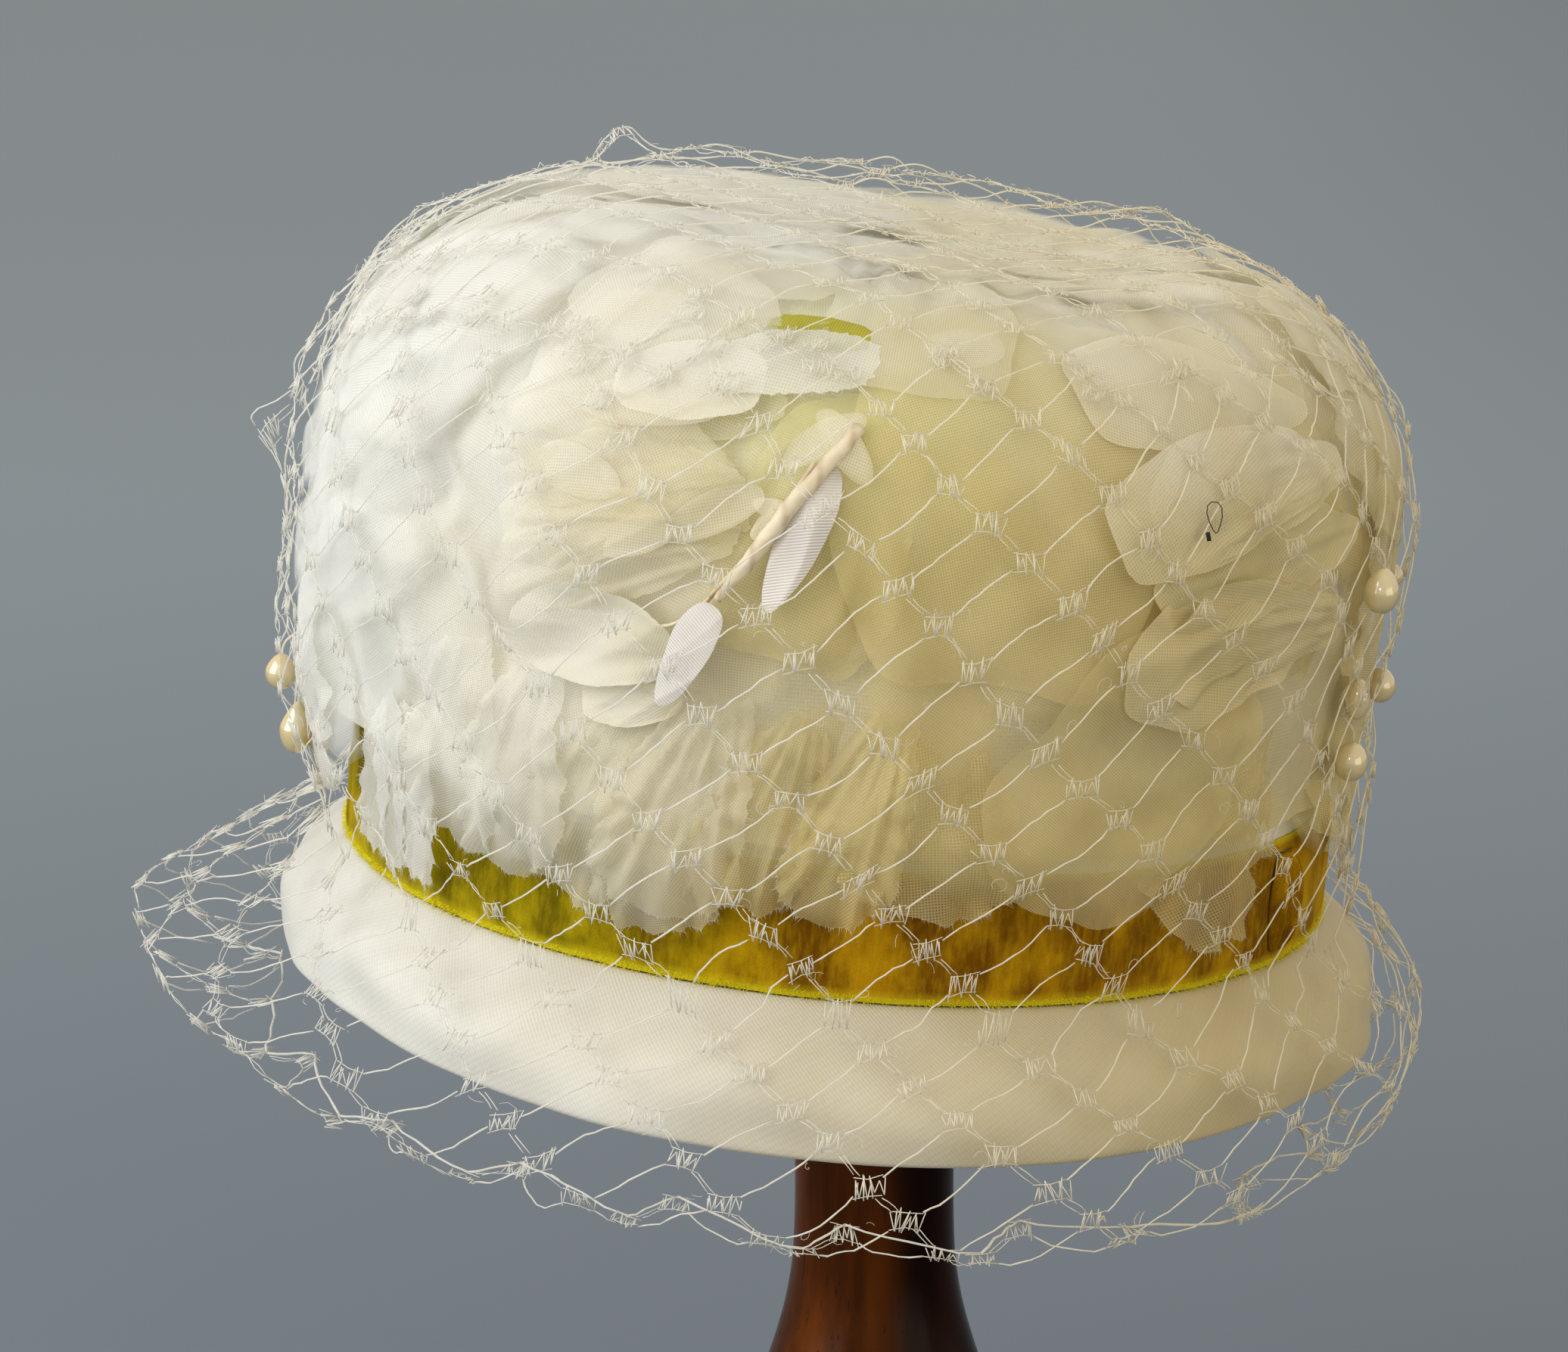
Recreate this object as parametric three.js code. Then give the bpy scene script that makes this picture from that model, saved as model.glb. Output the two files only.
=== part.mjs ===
// A cloche hat covered in sheer petals, with a velvet band, a satin brim, a small spray, sewn-on pearls and
// a knotted net veil, resting on a plain turned wooden stand.
// Units are millimetres, +Z is up. The origin is the centre of the stand's underside. The front of the hat
// looks along -Y, and left and right are as seen from the front: left is -X, right is +X.
// The hat itself is modelled in its own frame, whose origin is the centre of the crown's open base, and is
// then tipped and set on the stand.
import * as THREE from "three";

// ---- Driving dimensions --------------------------------------------------------------------------------

const STAND_HEIGHT = 300;
const HAT_TILT = 5.2; // degrees, with the right side lower
const HAT_OFFSET = 2; // the hat sits a little to the right of the stand's middle
const SEAT_GAP = 0.8; // between the stand's domed head and the crown's inside, at the hat's own axis
const PIECE_GAP = 0.3; // between pieces that touch

const CROWN_HALF_WIDTH = 92;
const CROWN_HALF_DEPTH = CROWN_HALF_WIDTH * 1.06; // heads are longer than they are wide
const CROWN_HEIGHT = 112;
const CROWN_BOXINESS = 5; // exponent of the crown's section: 2 is a dome, larger is squarer
const CROWN_WALL = 2;

const BAND_HEIGHT = 23.5;
const BAND_WALL = 1.3;

const KNOT_AROUND = 59; // degrees from the front
const KNOT_FLOOR = 2.1; // stand-off of the knot's flat back, clear of the band

const BRIM_WALL = 2.2;
const BRIM_START = 1.5; // how far the brim's top edge stands outside the crown
const BRIM_REACH = { left: 12.5, front: 17.5, right: 14, back: 12 }; // beyond the crown's base outline
const BRIM_DROP = { left: 19, front: 23.5, right: 19, back: 17 }; // below the crown's base

const PETAL_THICKNESS = 1;
const LAYER_PITCH = 1.7; // from one layer of petals to the next
const PETAL_ROOT_WIDTH = 0.3; // of the petal's full width
const PETAL_WIDEST = 0.58; // how far along its length a petal is widest
const PETAL_TIP_END = 0.985; // the last row, where the tip is still a short blunt edge
const FIRST_LAYER = 2.1; // stand-off of the lowest petals where they pass over the band
const PUFF = { side: 4, left: 10, top: 2.5 }; // how much further they stand off above the band
const PUFF_RISE = { from: -4, to: 32 }; // the heights between which the puff grows to its full size

const VEIL_WALL = 1;
const VEIL_CLEAR = 7.4; // from the lowest petals to the inside of the veil
const PEARL_GAP = 0.3; // between a pearl and the highest petal under it
const PEARL_ROOM = { left: 3.5, right: 7 }; // how much further out the veil hangs over the side pearls

const AROUND_STEPS = 32;
const TURNED_STEPS = 24; // faces round a turned piece of the stand
const CROWN_LIFTS = [0, 13, 23, 32, 39, 46, 54, 66, 80]; // heights of the crown's rings, degrees
const VEIL_LIFTS = [80, 68, 58, 51, 46, 41, 36, 30, 22, 12, 2];

// ---- Tables --------------------------------------------------------------------------------------------

// A petal runs from its sewn root to its free tip. around: degrees from the front, positive to the right.
// lift: degrees up from the crown's base, 90 at the top. layer: 0 is the lowest.
const PETALS = [
  // name, root around, root lift, tip around, tip lift, width, layer
  ["petal_disc_right", 25, 57, 6, 25, 58, 1],
  ["petal_flap_right", 8, 63, 1, 45, 30, 2],
  ["petal_upper_right", 62, 47, 21, 48, 24, 2],
  ["petal_spoon_right", 62, 41, 25, 37, 27, 3],
  ["petal_middle_right", 68, 36, 31, 35, 18, 2],
  ["petal_lower_right", 61, 26, 26, 28, 24, 3],
  ["petal_skirt_right", 45, 27, 12, 14, 42, 2],
  ["petal_hem_right", 50, 22, 38, 6, 32, 0],
  ["petal_hem_green", 9, 24, 7, 8.5, 30, 0],
  ["petal_ruffle_right", 3, 26, -3, 8, 18, 1],
  ["petal_ruffle_middle", -6, 25, -12, 8, 19, 0],
  ["petal_ruffle_left", -14, 26, -20, 7, 24, 1],
  ["petal_centre_fold", -3, 46, -9, 28, 30, 0],
  ["petal_white_inner", -24, 24, -28, 5.5, 34, 0],
  ["petal_white_outer", -38, 26, -41, 8, 32, 1],
  ["petal_drooping", -55, 20, -58, 2, 14, 0],
  ["petal_low_left", -78, 24, -82, 7, 36, 0],
  ["petal_satin_upper", -17, 34.3, -36, 29.5, 23, 3],
  ["petal_satin_lower", -14, 25.5, -29, 23, 11, 2],
  ["petal_fan_low", -16, 38, -38, 35, 30, 2],
  ["petal_fan_middle", -14, 42.5, -44, 43, 34, 1],
  ["petal_fan_high", -12, 52, -44, 55, 38, 2],
  ["petal_bud", -14, 44.5, -32, 44, 17, 3],
  ["petal_strip", -4, 47.5, -17, 51.5, 11, 3],
  ["petal_side_high_left", -46, 47, -77, 38, 44, 0],
  ["petal_side_low_left", -48, 33, -80, 25, 36, 1],
  ["petal_side_low_right", 78, 30, 77, 8, 50, 0],
  ["petal_top_front_left", -40, 86, -36, 57, 60, 0],
  ["petal_top_front_right", 40, 86, 42, 57, 60, 1],
  ["petal_top_back_right", 130, 86, 130, 57, 62, 0],
  ["petal_top_back_left", -130, 86, -130, 57, 62, 1],
  ["petal_back_high_right", 105, 55, 105, 32, 58, 0],
  ["petal_back_high_middle", 180, 55, 180, 32, 66, 0],
  ["petal_back_high_left", -118, 55, -120, 32, 58, 0],
  ["petal_back_low_right", 114, 37, 114, 8, 62, 1],
  ["petal_back_low_middle", 174, 37, 174, 8, 78, 1],
  ["petal_back_low_left", -118, 37, -120, 8, 76, 1],
];

const LEAVES = [
  // name, root around, root lift, tip around, tip lift, width, layer
  ["spray_leaf_upper", -7.4, 38.2, -10.8, 31, 7.5, 1],
  ["spray_leaf_lower", -15.5, 31, -18.5, 24, 8, 3],
];

const SPRAY_STEM = [
  // around, lift, height over the lowest petals' underside, radius
  [-7, 41.3, 3.4, 1.6],
  [-9.5, 38.5, 3.3, 1.4],
  [-13, 35, 3.1, 1.0],
  [-16, 32.3, 2.9, 0.6],
];

const PEARLS = [
  // name, around, lift, layers of petals under it, radius, height over width
  ["pearl_left_upper", -83, 14.5, 1, 3.0, 1.0],
  ["pearl_left_drop", -86, 8.5, 1, 3.3, 1.45],
  ["pearl_right_top", 60, 32.5, 3, 3.3, 1.25],
  ["pearl_right_rear", 80, 31, 0, 2.2, 1.0],
  ["pearl_right_middle", 82, 22, 1, 3.0, 1.0],
  ["pearl_right_long", 66, 23.5, 1, 2.4, 1.6],
  ["pearl_right_low", 65, 18.5, 1, 3.2, 1.15],
];

// The band's knot, row by row from its lower end.
const KNOT = [
  { z: 3, halfWidth: 3, depth: 1.2 },
  { z: 6, halfWidth: 4.2, depth: 3 },
  { z: 12, halfWidth: 5, depth: 4 },
  { z: 18, halfWidth: 4.4, depth: 3.2 },
  { z: 21.5, halfWidth: 3, depth: 1.2 },
];

// The veil's skirt below the crown: how far each side stands outside the crown's base outline.
const VEIL_SKIRT = [
  { z: -4, left: 13, front: 11, right: 13, back: 11 },
  { z: -12, left: 23, front: 16, right: 20, back: 16 },
  { z: -20, left: 33, front: 22, right: 23, back: 20 },
  { z: -28, left: 40, front: 26, right: 22, back: 23 },
  { z: -35, left: 37, front: 28.5, right: 20, back: 24 },
  { z: -40, left: 31, front: 28, right: 17, back: 23 },
];

// Turned profiles of the stand from the axis outwards and upwards: [radius, height].
const FOOT_PROFILE = [
  [0, 0],
  [72, 0],
  [75, 3],
  [75, 9],
  [71, 13],
  [60, 15],
  [40, 18],
  [26, 21],
  [0, 21],
];
const STEM_PROFILE = [
  [0, 21],
  [20, 21],
  [20.5, 26],
  [14, 31],
  [17, 39],
  [24.5, 52],
  [27, 64],
  [25, 77],
  [20, 91],
  [16.7, 104],
  [15.5, 118],
  [15.5, 272],
  [0, 272],
];
const HEAD_PROFILE = [
  [0, 272],
  [36, 272],
  [43, 276],
  [45, 282],
  [42, 288.5],
  [30, 295],
  [15, 298.8],
  [0, 300],
];

// ---- Materials -----------------------------------------------------------------------------------------

const finish = (color, roughness, metalness = 0) => new THREE.MeshStandardMaterial({ color, roughness, metalness });
const PETAL_FINISH = finish(0xe4dfc4, 0.75);
const SATIN_FINISH = finish(0xe8e1cb, 0.45);
const VELVET_FINISH = finish(0x8a6412, 0.9);
const FELT_FINISH = finish(0xd8d0b4, 0.95);
const PAPER_FINISH = finish(0xdccfae, 0.6);
const PEARL_FINISH = finish(0xefe6d2, 0.2);
const NET_FINISH = finish(0xe6dfc8, 0.7);
const WOOD_FINISH = finish(0x3a1c10, 0.3);

// ---- Closed surfaces -----------------------------------------------------------------------------------

// Six times the signed volume under one triangle, summed over a mesh, is positive when its faces point out.
function facesPointOut(points, faces) {
  let total = 0;
  for (let i = 0; i < faces.length; i += 3) {
    const [a, b, c] = [points[faces[i]], points[faces[i + 1]], points[faces[i + 2]]];
    total += a.dot(b.clone().cross(c));
  }
  return total > 0;
}

// A closed surface through rings of equally many points. An open run of rings is capped at both ends by a
// fan round each end ring's middle; a looped run joins its last ring to its first.
function skin(rings, looped = false) {
  const count = rings[0].length;
  const points = rings.flat();
  const faces = [];
  const runs = looped ? rings.length : rings.length - 1;
  for (let r = 0; r < runs; r++) {
    const here = r * count;
    const next = ((r + 1) % rings.length) * count;
    for (let i = 0; i < count; i++) {
      const j = (i + 1) % count;
      faces.push(here + i, next + i, next + j);
      faces.push(here + i, next + j, here + j);
    }
  }
  if (!looped) {
    const first = points.push(middleOf(rings[0])) - 1;
    const last = points.push(middleOf(rings[rings.length - 1])) - 1;
    const top = (rings.length - 1) * count;
    for (let i = 0; i < count; i++) {
      const j = (i + 1) % count;
      faces.push(first, i, j);
      faces.push(last, top + j, top + i);
    }
  }
  if (!facesPointOut(points, faces)) faces.reverse();
  const geometry = new THREE.BufferGeometry().setFromPoints(points);
  geometry.setIndex(faces);
  geometry.computeVertexNormals();
  return geometry;
}

function middleOf(ring) {
  const sum = ring.reduce((total, point) => total.add(point), new THREE.Vector3());
  return sum.divideScalar(ring.length);
}

// ---- The crown's form ----------------------------------------------------------------------------------

// The crown is a superellipsoid: (rho^n + (z / height)^n) = 1, where rho is the distance from the axis in
// crown half-widths, and below the base it carries straight on down as a tube.
function crownMeasure(point) {
  const rho = Math.hypot(point.x / CROWN_HALF_WIDTH, point.y / CROWN_HALF_DEPTH);
  const rise = Math.max(point.z, 0) / CROWN_HEIGHT;
  return { rho, rise };
}

// Moves a point straight away from the crown's base centre, or towards it, until it lies on the crown.
function ontoCrown(point) {
  const { rho, rise } = crownMeasure(point);
  const reach = rho ** CROWN_BOXINESS + rise ** CROWN_BOXINESS;
  return point.clone().multiplyScalar(reach ** (-1 / CROWN_BOXINESS));
}

function crownNormal(point) {
  const { rho, rise } = crownMeasure(point);
  const sideways = rho ** (CROWN_BOXINESS - 2);
  return new THREE.Vector3(
    (sideways * point.x) / CROWN_HALF_WIDTH ** 2,
    (sideways * point.y) / CROWN_HALF_DEPTH ** 2,
    rise ** (CROWN_BOXINESS - 1) / CROWN_HEIGHT,
  ).normalize();
}

function crownSpot(aroundDegrees, liftDegrees) {
  const around = THREE.MathUtils.degToRad(aroundDegrees);
  const lift = THREE.MathUtils.degToRad(liftDegrees);
  return ontoCrown(
    new THREE.Vector3(
      CROWN_HALF_WIDTH * Math.cos(lift) * Math.sin(around),
      -CROWN_HALF_DEPTH * Math.cos(lift) * Math.cos(around),
      CROWN_HEIGHT * Math.sin(lift),
    ),
  );
}

const offCrown = (point, height) => point.clone().addScaledVector(crownNormal(point), height);

// Stand-off of the lowest petals from the crown: small over the band, then puffed out, most on the left.
function puff(point) {
  const rise = THREE.MathUtils.smoothstep(point.z, PUFF_RISE.from, PUFF_RISE.to);
  const share = Math.min(Math.max(point.z / CROWN_HEIGHT, 0), 1);
  const leftness = 0.5 - (0.5 * point.x) / Math.max(Math.hypot(point.x, point.y), 1);
  return FIRST_LAYER + rise * (PUFF.side + PUFF.left * leftness * (1 - share) + PUFF.top * share ** 2);
}

const layerHeight = (point, layer) => puff(point) + layer * LAYER_PITCH;

const turns = Array.from({ length: AROUND_STEPS }, (_, i) => (360 * i) / AROUND_STEPS);

// A ring round the crown at one lift, moved off the crown by a height that may change from point to point.
const crownRing = (lift, heightAt) =>
  turns.map((around) => {
    const point = crownSpot(around, lift);
    return offCrown(point, heightAt(point));
  });

// Blends the values of the four sides round the crown, by the squares of sine and cosine.
function bySide(sides, aroundDegrees) {
  const around = THREE.MathUtils.degToRad(aroundDegrees);
  const sideways = Math.sin(around) < 0 ? sides.left : sides.right;
  const lengthways = Math.cos(around) > 0 ? sides.front : sides.back;
  return sideways * Math.sin(around) ** 2 + lengthways * Math.cos(around) ** 2;
}

// A ring that stands outside the crown's base outline by reachAt(around), at the height zAt(around).
const skirtRing = (reachAt, zAt) =>
  turns.map((turn) => {
    const around = THREE.MathUtils.degToRad(turn);
    const reach = reachAt(turn);
    return new THREE.Vector3(
      (CROWN_HALF_WIDTH + reach) * Math.sin(around),
      -(CROWN_HALF_DEPTH + reach) * Math.cos(around),
      zAt(turn),
    );
  });

// ---- Pieces of the hat ---------------------------------------------------------------------------------

// A felt wall, from the middle of its outside down to the base and up the inside again.
function crownShell() {
  const downwards = [...CROWN_LIFTS].reverse();
  const outside = downwards.map((lift) => crownRing(lift, () => 0));
  const inside = CROWN_LIFTS.map((lift) => crownRing(lift, () => -CROWN_WALL));
  return skin([...outside, ...inside]);
}

// The deep layers of small petals, joined in one padded wall round the crown above the band.
function underPetals() {
  const lifts = CROWN_LIFTS.slice(1);
  const downwards = [...lifts].reverse();
  const outside = downwards.map((lift) => crownRing(lift, (point) => puff(point) - (LAYER_PITCH - PETAL_THICKNESS)));
  const inside = lifts.map((lift) => crownRing(lift, () => PIECE_GAP));
  return skin([...outside, ...inside]);
}

function velvetBand() {
  const inner = () => PIECE_GAP;
  const outer = () => PIECE_GAP + BAND_WALL;
  const bottom = 0.5;
  const middle = BAND_HEIGHT / 2;
  const ring = (reach, z) => skirtRing(reach, () => z);
  const section = [
    ring(inner, bottom),
    ring(outer, bottom),
    ring(outer, middle),
    ring(outer, BAND_HEIGHT),
    ring(inner, BAND_HEIGHT),
  ];
  return skin(section, true);
}

// The brim leaves the band's lower edge, rounds outwards and ends in a thick folded edge.
function brim() {
  const shares = [0, 0.2, 0.45, 0.72, 1];
  const flare = (share) => Math.sin((share * Math.PI) / 2) ** 0.9;
  const reach = (share, inset) => (turn) =>
    BRIM_START + (bySide(BRIM_REACH, turn) - BRIM_START) * flare(share) - inset;
  const height = (share) => (turn) => -PIECE_GAP - bySide(BRIM_DROP, turn) * share;
  const outside = shares.map((share) => skirtRing(reach(share, 0), height(share)));
  const inside = [...shares].reverse().map((share) => skirtRing(reach(share, BRIM_WALL), height(share)));
  const edge = skirtRing(reach(1, BRIM_WALL / 2), (turn) => height(1)(turn) - BRIM_WALL / 2);
  return skin([...outside, edge, ...inside], true);
}

// A standing fold of velvet where the band is joined, towards the right.
function bandKnot() {
  const base = crownSpot(KNOT_AROUND, 0);
  const outwards = crownNormal(base);
  const along = new THREE.Vector3(0, 0, 1).cross(outwards);
  const section = [
    { across: -1, out: 0 },
    { across: -0.7, out: 0.8 },
    { across: 0, out: 1 },
    { across: 0.7, out: 0.8 },
    { across: 1, out: 0 },
  ];
  const rings = KNOT.map(({ z, halfWidth, depth }) =>
    section.map(({ across, out }) =>
      base
        .clone()
        .addScaledVector(along, across * halfWidth)
        .addScaledVector(outwards, KNOT_FLOOR + out * depth)
        .setZ(z),
    ),
  );
  return skin(rings);
}

// A petal is drawn flat on the plane that touches the crown at its middle, then laid on the crown.
// Its half-width follows two quarter ellipses that meet where the petal is widest.
function petal(rootAround, rootLift, tipAround, tipLift, width, layer) {
  const root = crownSpot(rootAround, rootLift);
  const tip = crownSpot(tipAround, tipLift);
  const centre = ontoCrown(root.clone().lerp(tip, 0.5));
  const outwards = crownNormal(centre);
  const along = tip.clone().sub(root).projectOnPlane(outwards).normalize();
  const across = outwards.clone().cross(along);
  const length = root.distanceTo(tip);
  const columns = Math.max(4, Math.round(width / 9));
  const rows = Math.max(5, Math.round(length / 8));
  const halfWidthAt = (u) => {
    const back = (PETAL_WIDEST - u) / (PETAL_WIDEST / Math.sqrt(1 - PETAL_ROOT_WIDTH ** 2));
    const front = (u - PETAL_WIDEST) / (1 - PETAL_WIDEST);
    return (width / 2) * Math.sqrt(1 - (u < PETAL_WIDEST ? back : front) ** 2);
  };
  const rings = Array.from({ length: rows + 1 }, (_, row) => {
    const u = (PETAL_TIP_END * row) / rows;
    const spots = Array.from({ length: columns }, (_, i) => {
      const side = (2 * i) / (columns - 1) - 1;
      const flat = centre.clone().addScaledVector(along, (u - 0.5) * length);
      return ontoCrown(flat.addScaledVector(across, side * halfWidthAt(u)));
    });
    const under = spots.map((point) => offCrown(point, layerHeight(point, layer)));
    const over = spots.map((point) => offCrown(point, layerHeight(point, layer) + PETAL_THICKNESS));
    return [...under, ...over.reverse()];
  });
  return skin(rings);
}

// A round stem through the table's points, thinning towards its end.
function sprayStem() {
  const sides = 8;
  const nodes = SPRAY_STEM.map(([around, lift, height, radius]) => {
    const point = crownSpot(around, lift);
    return { middle: offCrown(point, puff(point) + height), outwards: crownNormal(point), radius };
  });
  const rings = nodes.map(({ middle, outwards, radius }, i) => {
    const before = nodes[Math.max(i - 1, 0)].middle;
    const after = nodes[Math.min(i + 1, nodes.length - 1)].middle;
    const across = after.clone().sub(before).normalize().cross(outwards).normalize();
    return Array.from({ length: sides }, (_, side) => {
      const turn = (2 * Math.PI * side) / sides;
      return middle
        .clone()
        .addScaledVector(across, radius * Math.cos(turn))
        .addScaledVector(outwards, radius * Math.sin(turn));
    });
  });
  return skin(rings);
}

// Below the crown the veil flares by its table of sections; above, it follows the petals at a fixed
// clearance and stands a little further off over the pearls at each side.
function veil() {
  const sideRoom = (point) => {
    const sideways = point.x / CROWN_HALF_WIDTH;
    const room = sideways < 0 ? PEARL_ROOM.left : PEARL_ROOM.right;
    const fade = 1 - THREE.MathUtils.smoothstep(point.z, 76, 100);
    return room * sideways ** 2 * fade;
  };
  const inner = (point) => puff(point) + VEIL_CLEAR + sideRoom(point);
  const outer = (point) => inner(point) + VEIL_WALL;
  const skirt = (inset) => (row) => skirtRing((turn) => bySide(row, turn) - inset, () => row.z);
  const outside = [
    ...VEIL_LIFTS.map((lift) => crownRing(lift, outer)),
    ...VEIL_SKIRT.map(skirt(0)),
  ];
  const inside = [
    ...VEIL_LIFTS.map((lift) => crownRing(lift, inner)),
    ...VEIL_SKIRT.map(skirt(VEIL_WALL)),
  ];
  return skin([...outside, ...inside.reverse()]);
}

// A pearl is turned about its own long axis, which hangs down the crown's side.
function pearl(radius, stretch) {
  const bands = 6;
  const profile = Array.from({ length: bands + 1 }, (_, i) => {
    const turn = (Math.PI * i) / bands - Math.PI / 2;
    const onAxis = i === 0 || i === bands;
    return new THREE.Vector2(onAxis ? 0 : radius * Math.cos(turn), radius * stretch * Math.sin(turn));
  });
  return new THREE.LatheGeometry(profile, 8).rotateX(Math.PI / 2);
}

// ---- The stand -----------------------------------------------------------------------------------------

const turned = (profile) =>
  new THREE.LatheGeometry(
    profile.map(([radius, height]) => new THREE.Vector2(radius, height)),
    TURNED_STEPS,
  ).rotateX(Math.PI / 2);

// ---- Assembly ------------------------------------------------------------------------------------------

function add(group, name, geometry, material) {
  const mesh = new THREE.Mesh(geometry, material);
  mesh.name = name;
  group.add(mesh);
  return mesh;
}

const stand = new THREE.Group();
add(stand, "stand_foot", turned(FOOT_PROFILE), WOOD_FINISH);
add(stand, "stand_stem", turned(STEM_PROFILE), WOOD_FINISH).position.z = PIECE_GAP;
add(stand, "stand_head", turned(HEAD_PROFILE), WOOD_FINISH).position.z = 2 * PIECE_GAP;

const hat = new THREE.Group();
hat.position.z = -(CROWN_HEIGHT - CROWN_WALL);
add(hat, "crown_shell", crownShell(), FELT_FINISH);
add(hat, "brim", brim(), SATIN_FINISH);
add(hat, "velvet_band", velvetBand(), VELVET_FINISH);
add(hat, "band_knot", bandKnot(), VELVET_FINISH);
add(hat, "under_petals", underPetals(), PETAL_FINISH);
for (const [name, ...sizes] of PETALS) {
  add(hat, name, petal(...sizes), PETAL_FINISH);
}
add(hat, "spray_stem", sprayStem(), PAPER_FINISH);
for (const [name, ...sizes] of LEAVES) {
  add(hat, name, petal(...sizes), PAPER_FINISH);
}
for (const [name, around, lift, layers, radius, stretch] of PEARLS) {
  const seat = crownSpot(around, lift);
  const height = layerHeight(seat, layers) - (LAYER_PITCH - PETAL_THICKNESS) + PEARL_GAP + radius;
  add(hat, name, pearl(radius, stretch), PEARL_FINISH).position.copy(offCrown(seat, height));
}
add(hat, "veil", veil(), NET_FINISH);

const tipped = new THREE.Group();
tipped.position.set(HAT_OFFSET, 0, STAND_HEIGHT + 2 * PIECE_GAP + SEAT_GAP);
tipped.rotation.y = THREE.MathUtils.degToRad(HAT_TILT);
tipped.add(hat);

const part = new THREE.Group();
part.add(stand, tipped);

export default part;
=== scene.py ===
# %% [markdown]
# # A veiled cloche hat on a turned wooden stand
# The hat is a felt crown under many loose silk petals, a velvet ribbon round its foot, a narrow satin brim,
# a few bead drops at the sides, and a net veil over everything. The script builds each of these as cloth,
# thread, bead or wood, in the order in which a milliner would put them on.

# %% Load the packed model
import math
from collections import namedtuple

import bpy
import numpy as np
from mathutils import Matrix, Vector


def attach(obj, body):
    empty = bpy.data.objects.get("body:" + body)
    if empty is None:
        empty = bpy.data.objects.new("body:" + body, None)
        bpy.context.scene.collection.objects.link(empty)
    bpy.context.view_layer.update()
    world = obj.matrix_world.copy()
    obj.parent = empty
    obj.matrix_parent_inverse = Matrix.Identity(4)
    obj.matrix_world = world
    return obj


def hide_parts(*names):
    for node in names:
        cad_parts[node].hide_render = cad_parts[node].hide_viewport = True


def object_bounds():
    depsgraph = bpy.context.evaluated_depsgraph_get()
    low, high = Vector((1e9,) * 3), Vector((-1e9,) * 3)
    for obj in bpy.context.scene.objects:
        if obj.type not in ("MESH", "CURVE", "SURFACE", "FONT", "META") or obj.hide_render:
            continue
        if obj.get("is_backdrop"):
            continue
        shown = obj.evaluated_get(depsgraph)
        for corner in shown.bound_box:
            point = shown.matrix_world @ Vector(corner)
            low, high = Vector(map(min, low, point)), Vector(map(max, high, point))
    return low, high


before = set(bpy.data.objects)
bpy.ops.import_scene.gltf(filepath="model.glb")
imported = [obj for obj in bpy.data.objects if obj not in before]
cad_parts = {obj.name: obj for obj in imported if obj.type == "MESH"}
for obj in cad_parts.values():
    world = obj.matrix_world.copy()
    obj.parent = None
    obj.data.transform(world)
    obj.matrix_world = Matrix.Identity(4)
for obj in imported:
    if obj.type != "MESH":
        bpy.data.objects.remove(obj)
cad_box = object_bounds()
print("nodes in the frame:", len(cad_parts))

# %% [markdown]
# ## Sizes that everything shares
# The model's measures are kept in millimetres, in the hat's own frame, whose origin is the middle of the
# crown's open base. One function turns them into world metres, because the hat sits tipped on its stand.

# %% Sizes and the hat's place
MM = 0.001
HAT_TILT = math.radians(5.2)
HAT_TOP_AT = np.array([2.0, 0.0, 301.4])
HALF_WIDTH = 92.0
HALF_DEPTH = 97.52
CROWN_HEIGHT = 112.0
CROWN_WALL = 2.0
BOXINESS = 5
POLE_LIFT = 88.5


def to_world(points):
    """Hat millimetres to world metres: lowered by the crown's inner height, tipped about Y, then moved."""
    low = points - np.array([0.0, 0.0, CROWN_HEIGHT - CROWN_WALL])
    x = low[..., 0] * math.cos(HAT_TILT) + low[..., 2] * math.sin(HAT_TILT)
    z = low[..., 2] * math.cos(HAT_TILT) - low[..., 0] * math.sin(HAT_TILT)
    return (np.stack([x, low[..., 1], z], -1) + HAT_TOP_AT) * MM


BASE_MIDDLE = to_world(np.zeros(3))
print("middle of the crown's base, metres:", BASE_MIDDLE.round(4))

# %% [markdown]
# ## The camera
# The hat is seen from a little above its brim and from some way off, which keeps its two sides nearly
# parallel. The camera's place is worked out from the crown's base, so that it follows the model.

# %% Camera
VIEW_DISTANCE = 1.1
VIEW_ELEVATION = math.radians(13.6)
VIEW_LENS = 131.8
SENSOR_WIDTH = 36.0
AIM_LEFT = 0.00957
AIM_UP = 0.0335


def add_camera():
    """Places the camera at a distance along the line that rises by the view's elevation."""
    back = Vector((0, -math.cos(VIEW_ELEVATION), math.sin(VIEW_ELEVATION)))
    up = Vector((0, math.sin(VIEW_ELEVATION), math.cos(VIEW_ELEVATION)))
    target = Vector(BASE_MIDDLE) + up * AIM_UP - Vector((AIM_LEFT, 0, 0))
    data = bpy.data.cameras.new("camera")
    data.lens = VIEW_LENS
    data.sensor_width = SENSOR_WIDTH
    data.dof.use_dof = False
    camera = bpy.data.objects.new("camera", data)
    camera.location = target + back * VIEW_DISTANCE
    camera.rotation_mode = "QUATERNION"
    camera.rotation_quaternion = (-back).to_track_quat("-Z", "Y")
    bpy.context.scene.collection.objects.link(camera)
    bpy.context.scene.camera = camera


add_camera()
print("camera, metres from its aim:", VIEW_DISTANCE)

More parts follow.
